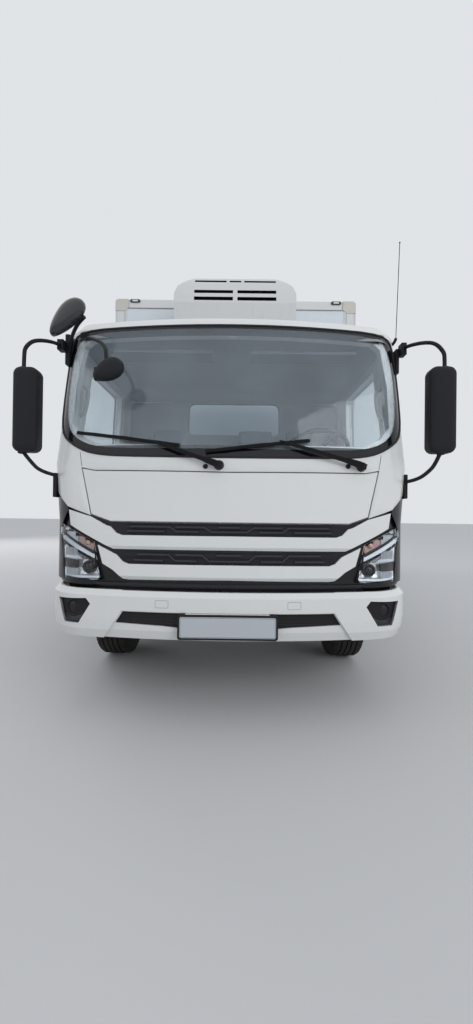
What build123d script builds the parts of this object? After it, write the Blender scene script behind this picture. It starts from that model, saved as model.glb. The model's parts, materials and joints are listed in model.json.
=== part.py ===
from build123d import *
from math import asin, cos, radians, sin, sqrt
import os

os.makedirs("parts", exist_ok=True)

# Refrigerated truck, millimetres. X points to the truck's left, Y backwards, Z up.
# Pieces are placed by their station, the distance behind the bumper's front face,
# and are moved at the end so that the origin is at the middle of the ground plan.

# Wheels and axles
TYRE_RADIUS = 398
TYRE_WIDTH = 232
RIM_RADIUS = 222
FRONT_AXLE = 1150
WHEELBASE = 4475
FRONT_TRACK = 1800
REAR_TRACK = 1650
TWIN_SPACING = 262
KINGPIN_HALF = 790
HUB_RADIUS = 62
DRUM_RADIUS = 178
STUB_RADIUS = 32
STUB_CLEARANCE = 0.6
BEAM_DEPTH = 80
TIE_ARM = 170
TIE_INSET = 45

# Ladder frame
RAIL_TOP = 810
RAIL_HEIGHT = 200
RAIL_FLANGE = 65
RAIL_WEB = 8
FRAME_HALF = 420
RAIL_START = 225
SPRING_WIDTH = 70
SPRING_PACK = 55

# Load box
BOX_FRONT = 2050
BOX_HALF = 1290
BOX_TOP = 3454
BOX_BOTTOM = 950
FLOOR_THICK = 120
WALL_THICK = 80
ROOF_THICK = 100
REAR_POST = 80
DOOR_FACE = 7310
DOOR_THICK = 75
DOOR_SEAL = 5
REAR_END = 7350
HINGE_INSET = 10
DOOR_EDGE_GAP = 35

# Cooling unit on the box front
UNIT_HALF = 575
UNIT_DEPTH = 550
UNIT_TOP = 3415
UNIT_BOTTOM = 2720
SLOT_HEIGHT = 34

# Cab
CAB_WALL = 60
CAB_SILL = 735
CAB_BACK = 1780
FRONT_ARC = 4500
CORNER_REACH = 140
LOW_CORNER = 260
GLASS = 8
WAIST = 1475
ROOF_LINE = 2300
SCREEN_FOOT = 1560
SCREEN_HEAD = 2235
ARCH_RADIUS = 560
CAB_FLOOR_BOTTOM = 862
CAB_FLOOR = 40
PIVOT_STATION = 200
PIVOT_HEIGHT = 830
LID_THICK = 25
POCKET = 40
POCKET_END = 440
STRIP_DEPTH = 18
PANEL_GAP = 6

# Cab doors
DOOR_FRONT = 463
DOOR_BACK = 1460
DOOR_BOTTOM = CAB_SILL
DOOR_TOP = 2255
DOOR_HINGE_X = 1110
DOOR_HINGE_STATION = 458
DOOR_HINGES = [900, 1290]
BARREL = 60
PIN_RADIUS = 4

# Bumper
BUMPER_HALF = 1085
BUMPER_TOP = 720
BUMPER_BOTTOM = 450
BUMPER_WALL = 42
BUMPER_REACH = 425
PLATE_STAND = 14
PLATE_WIDTH = 520
PLATE_HEIGHT = 112
PLATE_CENTRE = 538

REAR_AXLE = FRONT_AXLE + WHEELBASE
BOX_FLOOR_TOP = BOX_BOTTOM + FLOOR_THICK
BOX_CEILING = BOX_TOP - ROOF_THICK
DOOR_INNER = DOOR_FACE - DOOR_THICK
FRAME_BACK = DOOR_INNER - DOOR_SEAL
FRAME_FRONT = FRAME_BACK - REAR_POST
HINGE_X = BOX_HALF - HINGE_INSET
MIDDLE = (REAR_END - PLATE_STAND) / 2


def block(x0, x1, s0, s1, z0, z1):
    """Square block between two corners: x, station, height."""
    size = Box(x1 - x0, s1 - s0, z1 - z0)
    return Pos((x0 + x1) / 2, (s0 + s1) / 2, (z0 + z1) / 2) * size


def prism_across(outline, x0, x1):
    """Side-view outline of (station, height) points, pushed across the truck."""
    face = Face(Wire.make_polygon([(x0, s, z) for s, z in outline]))
    return Solid.extrude(face, Vector(x1 - x0, 0, 0))


def prism_along(outline, s0, s1):
    """Front-view outline of (x, height) points, pushed along the truck."""
    face = Face(Wire.make_polygon([(x, s0, z) for x, z in outline]))
    return Solid.extrude(face, Vector(0, s1 - s0, 0))


def rounded_along(outline, radius, s0, s1):
    """Front-view outline with rounded corners, pushed along the truck."""
    wire = Wire.make_polygon([(x, s0, z) for x, z in outline])
    face = Face(wire.fillet_2d(radius, wire.vertices()))
    return Solid.extrude(face, Vector(0, s1 - s0, 0))


def rod(start, end, radius):
    """Round bar from one point to another."""
    a, b = Vector(*start), Vector(*end)
    plane = Plane(origin=a, z_dir=b - a)
    return Solid.make_cylinder(radius, (b - a).length, plane)


def disc(x0, x1, station, height, radius):
    """Round plate or drum on an axis across the truck."""
    return rod((x0, station, height), (x1, station, height), radius)


def mirrored(shape):
    return shape.mirror(Plane.YZ)


def both_ways(half):
    """A half outline of (x, z) points from the middle out, and its mirror image."""
    return half + [(-x, z) for x, z in reversed(half) if x > 0]


def fused(pieces):
    whole = pieces[0]
    for piece in pieces[1:]:
        whole = whole + piece
    return whole


nodes = {}


def keep(name, *shapes):
    """Holds a node's solids until they are written."""
    nodes[name] = [solid for shape in shapes for solid in shape.solids()]


# Cab outline: one row for each height.
# Columns: height, station of the front at the middle, half width, station of the back,
# and how far in from the side the round front corner begins.
CAB_SECTIONS = [
    (700, 50, 1090, CAB_BACK, LOW_CORNER),
    (1100, 70, 1098, CAB_BACK, LOW_CORNER),
    (1450, 115, 1106, CAB_BACK, CORNER_REACH),
    (2310, 256, 1068, CAB_BACK - 5, CORNER_REACH),
    (2370, 305, 1036, CAB_BACK - 20, CORNER_REACH),
    (2430, 470, 915, CAB_BACK - 90, CORNER_REACH),
]
ROOF_SECTIONS = 3


def plan_wire(height, front, half, back, turn_in, inset):
    """Plan outline: flat sides and back, a bowed front and round front corners."""
    reach = half - turn_in
    angle = asin(reach / FRONT_ARC)
    corner = turn_in / (1 - sin(angle))
    side_start = front + FRONT_ARC - (FRONT_ARC - corner) * cos(angle)
    bow = FRONT_ARC - inset
    tight = corner - inset
    join = (bow * sin(angle), front + FRONT_ARC - bow * cos(angle), height)
    middle = (half - corner, side_start)
    turn = radians(45) + angle / 2
    bulge = (middle[0] + tight * sin(turn), middle[1] - tight * cos(turn), height)
    side = (half - inset, side_start, height)
    rear = (half - inset, back - inset, height)

    def flip(point):
        return (-point[0], point[1], point[2])

    return Wire([
        Edge.make_line(rear, side),
        Edge.make_three_point_arc(side, bulge, join),
        Edge.make_three_point_arc(join, (0, front + inset, height), flip(join)),
        Edge.make_three_point_arc(flip(join), flip(bulge), flip(side)),
        Edge.make_line(flip(side), flip(rear)),
        Edge.make_line(flip(rear), rear),
    ])


def cab_form(inset, lowered=0):
    """The cab's outer form, moved inwards by inset, its roof lowered by lowered."""
    wires = []
    for row, (height, front, half, back, turn_in) in enumerate(CAB_SECTIONS):
        is_roof = row >= len(CAB_SECTIONS) - ROOF_SECTIONS
        level = height - lowered if is_roof else height
        wires.append(plan_wire(level, front, half, back, turn_in, inset))
    return Solid.make_loft(wires, ruled=True)


# Cab shell and the outlines that divide it
cab_outside = cab_form(0)
cab_inside = cab_form(CAB_WALL, CAB_WALL)
cab_glass_line = cab_form(GLASS)
cab_pocket_line = cab_form(POCKET)
cab_strip_line = cab_form(STRIP_DEPTH)

arch = disc(-1500, 1500, FRONT_AXLE, TYRE_RADIUS, ARCH_RADIUS)
screen_outline = both_ways([
    (0, 1478), (800, 1496), (935, 1552), (1050, 1640), (1066, 1900), (1030, 2230), (960, 2300), (0, 2300),
])
screen_hole = both_ways([
    (0, 1545), (790, 1560), (900, 1610), (965, 1690), (965, 1950), (930, 2200), (880, 2240), (0, 2240),
])
lid_outline = both_ways([
    (0, 1103), (685, 1103), (803, 1142), (878, 1412), (800, 1397), (0, 1387),
])
lid_hole = both_ways([
    (0, 1096), (687, 1096), (808, 1136), (886, 1420), (801, 1403), (0, 1393),
])
grille_outline = both_ways([
    (0, 700), (1300, 700), (1300, 1330), (1101, 1308), (964, 1187), (810, 1137), (686, 1097), (0, 1097),
])
lamp_outline = [
    (1013, 1083), (783, 985), (757, 868), (722, 768), (981, 764), (995, 894), (1022, 1026),
]
trim_outline = [
    (982, 757), (1300, 757), (1300, 1330), (1101, 1308), (964, 1187), (958, 1168), (1013, 1083),
    (1022, 1026), (995, 894), (981, 764),
]
strip_outlines = [
    [(0, 1026), (611, 1024), (646, 1036), (681, 1071), (709, 1079), (805, 1128), (955, 1168),
     (938, 1077), (784, 1000), (666, 944), (608, 944), (0, 946)],
    [(0, 864), (569, 862), (603, 874), (642, 912), (757, 966), (724, 860), (662, 826), (600, 776),
     (566, 772), (0, 780)],
]


def door_outline(grow):
    """Side view of a cab door. It rises over the wheel arch, which is cut apart."""
    back = DOOR_BACK + 2 * grow
    return [
        (DOOR_FRONT - grow, DOOR_BOTTOM - grow), (DOOR_FRONT - grow, WAIST),
        (650 - grow, DOOR_TOP + grow), (1400 + grow, DOOR_TOP + grow),
        (back, 2200), (back, DOOR_BOTTOM - grow),
    ]


WINDOW_OUTLINE = [(560, 1500), (700, 2185), (1385, 2185), (1400, 2150), (1400, 1500)]
REAR_WINDOW = (455, 1925, 2255)

screen_cut = (cab_outside - cab_glass_line) & prism_along(screen_outline, -100, 700)
screen_opening = prism_along(screen_hole, -100, 700)
lid_cut = (cab_outside - cab_form(LID_THICK + PANEL_GAP)) & prism_along(lid_hole, -100, 455)
pocket_cut = (cab_outside - cab_pocket_line) & prism_along(grille_outline, -100, POCKET_END)

shell = cab_outside - cab_inside
shell = shell - block(-1500, 1500, 0, 2000, 600, CAB_SILL)
shell = shell - arch
shell = shell - screen_cut - screen_opening - lid_cut - pocket_cut

# Front panel below the windscreen
front_end = DOOR_FRONT - PANEL_GAP
front_zone = block(-1500, 1500, -100, front_end, 600, SCREEN_FOOT)
front_panel = shell & front_zone
for z in DOOR_HINGES:
    foot = (DOOR_HINGE_X, DOOR_HINGE_STATION, z)
    room = rod(foot, (DOOR_HINGE_X, DOOR_HINGE_STATION, z + BARREL + 2), PIN_RADIUS + 6)
    root = block(DOOR_HINGE_X - 30, DOOR_HINGE_X, DOOR_HINGE_STATION - 14, DOOR_HINGE_STATION - 2, z, z + 8)
    ear = block(DOOR_HINGE_X - 7, DOOR_HINGE_X + 7, DOOR_HINGE_STATION - 14, DOOR_HINGE_STATION + 5, z, z + 8)
    pin = rod(foot, (DOOR_HINGE_X, DOOR_HINGE_STATION, z + BARREL), PIN_RADIUS)
    fitting = fused([root, ear, pin])
    front_panel = fused([front_panel - room - mirrored(room), fitting, mirrored(fitting)])
keep("cab_front_panel", front_panel)

# Side frames, one each side, with the door openings
side_zone = block(600, 1500, front_end, CAB_BACK - CAB_WALL, 600, ROOF_LINE)
side_zone = side_zone + block(600, 1500, -100, front_end, SCREEN_FOOT, SCREEN_HEAD)
door_gap = prism_across(door_outline(PANEL_GAP), 600, 1500)
left_frame = (shell & side_zone) - door_gap
keep("cab_side_frames", left_frame, mirrored(left_frame))

# Roof with the windscreen's head, and the back wall
roof_zone = block(-1500, 1500, -100, 2500, ROOF_LINE, 2600)
roof_zone = roof_zone + block(-1500, 1500, -100, front_end, SCREEN_HEAD, ROOF_LINE)
keep("cab_roof", shell & roof_zone)
back_wall = shell & block(-1500, 1500, CAB_BACK - CAB_WALL, 2500, 600, ROOF_LINE)
window_half, window_low, window_high = REAR_WINDOW
window_edge = [(window_half, window_low), (window_half, window_high)]
window_edge = window_edge + [(-window_half, window_high), (-window_half, window_low)]
rear_window_hole = rounded_along(window_edge, 60, CAB_BACK - 100, CAB_BACK + 100)
back_wall = back_wall - block(-1500, 1500, CAB_BACK - 100, 2500, 600, CAB_FLOOR_BOTTOM)
keep("cab_back_wall", back_wall - rear_window_hole)

# Windscreen and rear window
screen = (cab_outside - cab_glass_line) & prism_along(screen_outline, -100, 700)
rear_pane = rounded_along(window_edge, 60, CAB_BACK - 36, CAB_BACK - 30)
keep("cab_glazing", screen, rear_pane)

# Service lid below the windscreen
keep("front_lid", (cab_outside - cab_form(LID_THICK)) & prism_along(lid_outline, -100, 455))

# Dark grille carrier, white strips, headlamps and corner trims
lamp_prism = prism_along(lamp_outline, -100, POCKET_END)
trim_prism = prism_along(trim_outline, -100, POCKET_END)
grille_prism = prism_along(grille_outline, -100, POCKET_END) - block(-1500, 1500, -200, 600, 600, CAB_SILL)
carrier = (cab_strip_line - cab_pocket_line) & grille_prism
carrier = carrier - lamp_prism - mirrored(lamp_prism) - trim_prism - mirrored(trim_prism)
trim = (cab_outside - cab_pocket_line) & trim_prism
lamp = (cab_form(3) - cab_pocket_line) & lamp_prism
keep("grille", carrier, trim, mirrored(trim))
keep("headlamps", lamp, mirrored(lamp))
strips = []
for outline in strip_outlines:
    strips.append((cab_outside - cab_strip_line) & prism_along(both_ways(outline), -100, POCKET_END))
keep("grille_strips", *strips)

# Doors and their glass
window_prism = prism_across(WINDOW_OUTLINE, 600, 1500)
door_blank = shell & prism_across(door_outline(0), 600, 1500)
door_blank = door_blank - disc(-1500, 1500, FRONT_AXLE, TYRE_RADIUS, ARCH_RADIUS + PANEL_GAP)
door_shell = door_blank - window_prism
for z in DOOR_HINGES:
    strap = block(DOOR_HINGE_X - 30, DOOR_HINGE_X, DOOR_FRONT, DOOR_FRONT + 16, z + 10, z + BARREL)
    barrel = rod((DOOR_HINGE_X, DOOR_HINGE_STATION, z + 10), (DOOR_HINGE_X, DOOR_HINGE_STATION, z + BARREL),
                 PIN_RADIUS + 3)
    door_shell = fused([door_shell, strap, barrel])
    door_shell = door_shell - rod((DOOR_HINGE_X, DOOR_HINGE_STATION, z),
                                  (DOOR_HINGE_X, DOOR_HINGE_STATION, z + BARREL + 1), PIN_RADIUS + 0.4)
door_pane = (cab_form(24) - cab_form(30)) & window_prism
keep("door_left", door_shell)
keep("door_right", mirrored(door_shell))
keep("door_glass_left", door_pane)
keep("door_glass_right", mirrored(door_pane))

# Cab floor with the raised cover over the engine, and the two tilt lugs
FOOTWELL_END = 640
HUMP_HALF = 370
HUMP_TOP = 1210
floor_in = 1025
footwell = block(-floor_in, floor_in, 170, FOOTWELL_END + CAB_FLOOR, CAB_FLOOR_BOTTOM,
                 CAB_FLOOR_BOTTOM + CAB_FLOOR)
deck_level = 985
deck = block(-floor_in, floor_in, FOOTWELL_END, CAB_BACK - CAB_WALL, deck_level, deck_level + CAB_FLOOR)
riser = block(-floor_in, floor_in, FOOTWELL_END, FOOTWELL_END + CAB_FLOOR, CAB_FLOOR_BOTTOM, deck_level)
hump = block(-HUMP_HALF, HUMP_HALF, FOOTWELL_END, CAB_BACK - CAB_WALL, CAB_FLOOR_BOTTOM, HUMP_TOP)
hump_space = block(-HUMP_HALF + CAB_FLOOR, HUMP_HALF - CAB_FLOOR, FOOTWELL_END + CAB_FLOOR, 2000, 700,
                   HUMP_TOP - CAB_FLOOR)
LUG_X = FRAME_HALF + 35
lug = block(LUG_X, LUG_X + 30, PIVOT_STATION - 30, PIVOT_STATION + 30, PIVOT_HEIGHT - 30, CAB_FLOOR_BOTTOM)
lug = lug - disc(LUG_X - 5, LUG_X + 35, PIVOT_STATION, PIVOT_HEIGHT, 16)
cab_floor = fused([footwell, deck, riser, hump]) - hump_space
cab_floor = fused([cab_floor, lug, mirrored(lug)])
keep("cab_floor", cab_floor & cab_form(CAB_WALL + 1))
BEARER_TOP = RAIL_TOP + 80
BEARER_HALF = 1200

# Dashboard, steering wheel and seats
dash_outline = [(190, 1010), (190, 1470), (330, 1490), (520, 1440), (540, 1280), (420, 1010)]
dash = prism_across(dash_outline, -1010, 1010) & cab_form(CAB_WALL + 1)
keep("dashboard", dash)
WHEEL_CENTRE = (600, 640, 1600)
WHEEL_TILT = 32
WHEEL_RING = 215
ring_plane = Plane(origin=WHEEL_CENTRE, z_dir=(0, sin(radians(WHEEL_TILT)), cos(radians(WHEEL_TILT))))
ring = Solid.make_torus(WHEEL_RING, 16, ring_plane)
column_foot = (600, 640 - 210 * sin(radians(WHEEL_TILT)), 1600 - 210 * cos(radians(WHEEL_TILT)))
boss = rod(column_foot, WHEEL_CENTRE, 38)
spokes = []
for angle in (90, 210, 330):
    out = Vector(WHEEL_RING * cos(radians(angle)), WHEEL_RING * sin(radians(angle)), 0)
    rim_point = ring_plane.from_local_coords(out)
    spokes.append(rod(WHEEL_CENTRE, rim_point, 13))
steering = fused([ring, boss] + spokes) - dash
keep("steering_wheel", max(steering.solids(), key=lambda solid: solid.volume))
SEAT_BASE = deck_level + CAB_FLOOR
# Columns: middle of the seat, half width, height of its base, half width of its head rest
SEATS = [(620, 240, SEAT_BASE, 130), (205, 165, HUMP_TOP, 160), (-620, 240, SEAT_BASE, 130)]
seats = []
for x, half, base, rest_half in SEATS:
    cushion = block(x - half, x + half, 960, 1440, base, 1380)
    back = prism_across([(1440, base), (1440, 1380), (1490, 1780), (1580, 1780), (1570, base)],
                        x - half, x + half)
    rest = block(x - rest_half, x + rest_half, 1500, 1570, 1780, 1935)
    seats.append(fused([cushion, back, rest]))
keep("seats", *seats)

# Mirrors: square heads on tubes, and on the right side a kerb mirror and a front mirror.
# Columns: outer edge of the head, inner edge, station, bottom, top; the left one is first
MIRROR_HEADS = [(1290, 1110, 80, 1500, 1995), (-1245, -1085, 120, 1500, 1975)]
TUBE = 10
MIRROR_TUBES = [
    [(1225, 122, 1990), (1225, 122, 2086), (1173, 160, 2168), (1040, 330, 2203)],
    [(1207, 122, 1505), (1163, 160, 1413), (1137, 210, 1367), (1070, 320, 1372)],
    [(-1208, 162, 1970), (-1208, 162, 2106), (-1154, 170, 2163), (-1030, 330, 2210)],
    [(-1216, 162, 1505), (-1132, 220, 1384), (-1060, 320, 1387)],
    [(-885, 175, 2300), (-955, 240, 2248), (-1020, 345, 2200)],
    [(-700, 64, 1980), (-700, 64, 2030), (-724, 110, 2108), (-813, 200, 2185), (-925, 350, 2262)],
]


def oval(centre, normal, along, long_half, short_half, depth):
    """Oval dish: its centre, the way it faces, its long direction, half lengths and depth."""
    plane = Plane(origin=centre, x_dir=along, z_dir=normal)
    edge = Edge.make_ellipse(long_half, short_half, plane)
    return Solid.extrude(Face(Wire([edge])), plane.z_dir * depth)


mirror_parts = []
for outer, inner, station, low, high in MIRROR_HEADS:
    mirror_parts.append(rounded_along([(inner, low), (outer, low), (outer, high), (inner, high)], 50,
                                      station, station + 85))
for route in MIRROR_TUBES:
    for start, end in zip(route, route[1:]):
        mirror_parts.append(rod(start, end, TUBE))
    for corner in route[1:-1]:
        mirror_parts.append(Pos(*corner) * Sphere(TUBE))
mirror_parts.append(oval((-941, 140, 2302), (0.2, 0.97, -0.1), (0.66, 0, 0.75), 135, 88, 50))
mirror_parts.append(oval((-672, 36, 1942), (0.1, 1, -0.12), (0.97, 0, 0.2), 84, 58, 42))
mirror_set = fused(mirror_parts) - cab_outside
keep("mirrors", *[solid for solid in mirror_set.solids() if solid.volume > 50000])

# Wipers: arm and blade each
# Columns: pivot x, pivot height, blade ends (x, z), joint of arm and blade
WIPERS = [(-65, 1432, (-925, 1635), (-290, 1548), (-440, 1566)),
          (770, 1440, (460, 1590), (-140, 1512), (316, 1575))]


def front_station(x, z):
    """Station of the cab's front surface at a place on it."""
    for low, high in zip(CAB_SECTIONS, CAB_SECTIONS[1:]):
        if low[0] <= z <= high[0]:
            share = (z - low[0]) / (high[0] - low[0])
            front = low[1] + share * (high[1] - low[1])
            half = low[2] + share * (high[2] - low[2])
            turn_in = low[4] + share * (high[4] - low[4])
    reach = half - turn_in
    if abs(x) <= reach:
        return front + FRONT_ARC - sqrt(FRONT_ARC ** 2 - x ** 2)
    angle = asin(reach / FRONT_ARC)
    corner = turn_in / (1 - sin(angle))
    side_start = front + FRONT_ARC - (FRONT_ARC - corner) * cos(angle)
    return side_start - sqrt(corner ** 2 - (abs(x) - half + corner) ** 2)


def on_front(x, z, stand):
    return (x, front_station(x, z) - stand, z)


wiper_set = []
for pivot_x, pivot_z, blade_a, blade_b, joint in WIPERS:
    blade_middle = ((blade_a[0] + blade_b[0]) / 2, (blade_a[1] + blade_b[1]) / 2)
    arm = rod(on_front(pivot_x, pivot_z, 32), on_front(*joint, 30), 9)
    spindle = rod(on_front(pivot_x, pivot_z, -GLASS), on_front(pivot_x, pivot_z, 40), 16)
    blade = rod(on_front(*blade_a, 18), on_front(*blade_middle, 20), 8)
    blade = blade + rod(on_front(*blade_middle, 20), on_front(*blade_b, 18), 8)
    link = rod(on_front(*joint, 30), on_front(joint[0], joint[1], 14), 8)
    wiper_set.append(fused([arm, spindle, blade, link]) - cab_outside)
keep("wipers", *[max(wiper.solids(), key=lambda solid: solid.volume) for wiper in wiper_set])

# Whip antenna on the left windscreen pillar
antenna = rod((1064, 420, 2290), (1105, 470, 2980), 4) + rod((1040, 430, 2270), (1066, 420, 2300), 14)
antenna = antenna - cab_outside
keep("antenna", max(antenna.solids(), key=lambda solid: solid.volume))


# Chassis rails: two channels, with the body's bearers on them
FRONT_SPRING_X = 365
REAR_SPRING_X = 495
FRONT_SPRING_EYE = 585
REAR_SPRING_EYE = 640
SPRING_HALF_LENGTH = 620
RAIL_BOTTOM = RAIL_TOP - RAIL_HEIGHT
RAIL_END = FRAME_BACK - 60
rail = block(FRAME_HALF - RAIL_FLANGE, FRAME_HALF, RAIL_START, RAIL_END, RAIL_BOTTOM, RAIL_TOP)
rail = rail - block(FRAME_HALF - RAIL_FLANGE - 1, FRAME_HALF - RAIL_WEB, RAIL_START - 1, RAIL_END + 1,
                    RAIL_BOTTOM + RAIL_WEB, RAIL_TOP - RAIL_WEB)
keep("frame_rails", rail, mirrored(rail))
bearer = block(FRAME_HALF - RAIL_FLANGE, FRAME_HALF, BOX_FRONT + 20, RAIL_END, RAIL_TOP, BEARER_TOP)
keep("body_bearers", bearer, mirrored(bearer))

# Crossmembers between the rails, and the cross bearers under the box floor
CROSSMEMBERS = [280, 2060, 3000, 3950, 4900, 6350, 7110]
CROSS_HALF = FRAME_HALF - RAIL_WEB
cross_set = []
for station in CROSSMEMBERS:
    cross_set.append(block(-CROSS_HALF, CROSS_HALF, station - 35, station + 35, RAIL_BOTTOM + 40,
                           RAIL_TOP - 40))
BEARER_PITCH = 600
for index in range(9):
    station = BOX_FRONT + 120 + index * BEARER_PITCH
    cross_set.append(block(-BEARER_HALF, BEARER_HALF, station, station + 60, BEARER_TOP, BOX_BOTTOM))
cross_set.append(block(-BEARER_HALF, BEARER_HALF, FRAME_BACK - 130, FRAME_BACK, BEARER_TOP, BOX_BOTTOM))
keep("crossmembers", *cross_set)

# Brackets on the rails: spring hangers, cab rests and the cab's tilt brackets with their pins
bracket_set = []
for station in (FRONT_AXLE - SPRING_HALF_LENGTH, FRONT_AXLE + SPRING_HALF_LENGTH):
    bracket_set.append(block(FRONT_SPRING_X - 30, FRONT_SPRING_X + 30, station - 40, station + 40,
                             FRONT_SPRING_EYE + 15, RAIL_BOTTOM))
for station in (REAR_AXLE - SPRING_HALF_LENGTH, REAR_AXLE + SPRING_HALF_LENGTH):
    bracket_set.append(block(FRAME_HALF, REAR_SPRING_X + 35, station - 45, station + 45,
                             REAR_SPRING_EYE + 15, REAR_SPRING_EYE + 110))
bracket_set.append(block(FRAME_HALF - 60, FRAME_HALF, 1640, 1700, RAIL_TOP,
                         CAB_FLOOR_BOTTOM - PANEL_GAP))
EYE_RADIUS = 26
tilt_bracket = prism_across([
    (PIVOT_STATION, PIVOT_HEIGHT + EYE_RADIUS), (PIVOT_STATION + 90, PIVOT_HEIGHT + EYE_RADIUS),
    (RAIL_START + 105, RAIL_TOP - 170), (RAIL_START + 15, RAIL_TOP - 170),
    (PIVOT_STATION, PIVOT_HEIGHT - EYE_RADIUS),
], FRAME_HALF, FRAME_HALF + 25)
tilt_bracket = tilt_bracket + disc(FRAME_HALF, FRAME_HALF + 25, PIVOT_STATION, PIVOT_HEIGHT, EYE_RADIUS)
tilt_pin = disc(FRAME_HALF + 20, LUG_X + 30, PIVOT_STATION, PIVOT_HEIGHT, 15)
bracket_set.append(tilt_bracket + tilt_pin)

# Front axle beam with a bored boss at each end
BOSS_LOW = 338
BOSS_HIGH = 458
beam_outline = both_ways([
    (0, 292), (560, 292), (700, 350), (752, 350), (752, 446), (690, 446), (550, 372), (0, 372),
])
beam = prism_along(beam_outline, FRONT_AXLE - BEAM_DEPTH / 2, FRONT_AXLE + BEAM_DEPTH / 2)
boss = rod((KINGPIN_HALF, FRONT_AXLE, BOSS_LOW), (KINGPIN_HALF, FRONT_AXLE, BOSS_HIGH), 40)
boss = boss + block(740, KINGPIN_HALF, FRONT_AXLE - 30, FRONT_AXLE + 30, 352, 444)
boss = boss - rod((KINGPIN_HALF, FRONT_AXLE, 300), (KINGPIN_HALF, FRONT_AXLE, 500), 20.5)
pad = block(FRONT_SPRING_X - 40, FRONT_SPRING_X + 40, FRONT_AXLE - 60, FRONT_AXLE + 60, 360, 395)
keep("front_axle_beam", fused([beam, boss, mirrored(boss), pad, mirrored(pad)]))

# Rear axle: tube, differential housing, spindles and spring seats
AXLE_TUBE = 65
REAR_BACKING = REAR_TRACK / 2 - 197
rear_pieces = [
    disc(-REAR_BACKING, REAR_BACKING, REAR_AXLE, TYRE_RADIUS, AXLE_TUBE),
    disc(-REAR_TRACK / 2 - 80, REAR_TRACK / 2 + 80, REAR_AXLE, TYRE_RADIUS, 50),
    disc(-REAR_BACKING - 8, -REAR_BACKING, REAR_AXLE, TYRE_RADIUS, DRUM_RADIUS - 6),
    disc(REAR_BACKING, REAR_BACKING + 8, REAR_AXLE, TYRE_RADIUS, DRUM_RADIUS - 6),
    rod((0, REAR_AXLE - 130, TYRE_RADIUS), (0, REAR_AXLE + 110, TYRE_RADIUS), 180),
    rod((0, REAR_AXLE - 230, TYRE_RADIUS), (0, REAR_AXLE - 130, TYRE_RADIUS), 75),
]
seat = block(REAR_SPRING_X - 45, REAR_SPRING_X + 45, REAR_AXLE - 60, REAR_AXLE + 60, TYRE_RADIUS, 490)
keep("rear_axle", fused(rear_pieces + [seat, mirrored(seat)]))


def leaf_pack(x, half_width, axle, seat_height, eye_height):
    """Bowed stack of leaves: flat at the axle seat, rising to an eye at each end."""
    z = seat_height
    top = z + SPRING_PACK
    ends = eye_height - 15
    tip = SPRING_HALF_LENGTH + 25
    outline = [
        (axle - 70, z), (axle + 70, z), (axle + 330, z + 0.36 * (ends - z)), (axle + tip, ends),
        (axle + tip, ends + 30), (axle + 330, top + 0.30 * (ends + 30 - top)), (axle + 70, top),
        (axle - 70, top), (axle - 330, top + 0.30 * (ends + 30 - top)), (axle - tip, ends + 30),
        (axle - tip, ends), (axle - 330, z + 0.36 * (ends - z)),
    ]
    return prism_across(outline, x - half_width, x + half_width)


front_leaf = leaf_pack(FRONT_SPRING_X, SPRING_WIDTH / 2, FRONT_AXLE, 395, FRONT_SPRING_EYE)
rear_leaf = leaf_pack(REAR_SPRING_X, SPRING_WIDTH / 2, REAR_AXLE, 490, REAR_SPRING_EYE)
keep("leaf_springs", front_leaf, mirrored(front_leaf), rear_leaf, mirrored(rear_leaf))

# Engine with gearbox, and the propeller shaft
engine = block(-300, 300, 700, 1580, 480, 1120) + block(-170, 170, 1580, 2010, 500, 780)
keep("engine_block", engine)
shaft_slope = (560 - TYRE_RADIUS) / (REAR_AXLE - 230 - 2010)
shaft = rod((0, 1910, 560 + 100 * shaft_slope), (0, REAR_AXLE - 130, TYRE_RADIUS - 100 * shaft_slope), 45)
keep("propeller_shaft", shaft & block(-100, 100, 2010, REAR_AXLE - 230, 200, 800))

# Fuel tank, battery box with air tanks, and the exhaust silencer
tank = block(-1040, -560, 2550, 3500, 360, 780)
tank = tank.fillet(60, tank.edges().filter_by(Axis.Y))
keep("fuel_tank", tank)
battery = block(560, 1040, 2550, 3050, 420, 780)
reservoir = rod((760, 3200, 600), (760, 3950, 600), 130)
keep("battery_box", battery, reservoir)
silencer = rod((-700, 3750, 560), (-700, 4500, 560), 140)
tail_pipe = rod((-700, 4500, 560), (-700, 4640, 560), 38)
keep("exhaust_silencer", silencer + tail_pipe)
# Columns: side, outer end, front and back station, bottom, top
HANGERS = [(-1, 560, 2700, 2760, 640, 780), (-1, 560, 3300, 3360, 640, 780), (1, 560, 2700, 2900, 640, 780),
           (1, 700, 3330, 3370, 700, 780), (1, 700, 3780, 3820, 700, 780), (-1, 640, 4050, 4110, 640, 700)]
tank_set = tank + battery + reservoir + silencer
hanger_set = []
for side, reach, front, back, low, high in HANGERS:
    hanger = block(FRAME_HALF, reach, front, back, low, high)
    hanger_set.append((hanger if side > 0 else mirrored(hanger)) - tank_set)

# Steps below the doors
step = block(800, 1078, 440, 660, 400, 725) - block(870, 1100, 470, 630, 560, 745)
step = step - block(870, 1100, 470, 630, 430, 530)
step = step + block(FRAME_HALF, 810, 520, 580, 640, 700)
keep("cab_steps", step, mirrored(step))


def arc_guard(x0, x1, axle, radius, start, end, thick):
    """Curved guard over a wheel, between two angles above the level."""
    outer = disc(x0, x1, axle, TYRE_RADIUS, radius + thick)
    inner = disc(x0 - 1, x1 + 1, axle, TYRE_RADIUS, radius)
    far = 2 * radius
    wedge = prism_across([
        (axle, TYRE_RADIUS), (axle - far * cos(radians(start)), TYRE_RADIUS + far * sin(radians(start))),
        (axle - far, TYRE_RADIUS + 2 * far), (axle + far, TYRE_RADIUS + 2 * far),
        (axle + far * cos(radians(end)), TYRE_RADIUS + far * sin(radians(end))),
    ], x0 - 1, x1 + 1)
    return (outer - inner) & wedge


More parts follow.
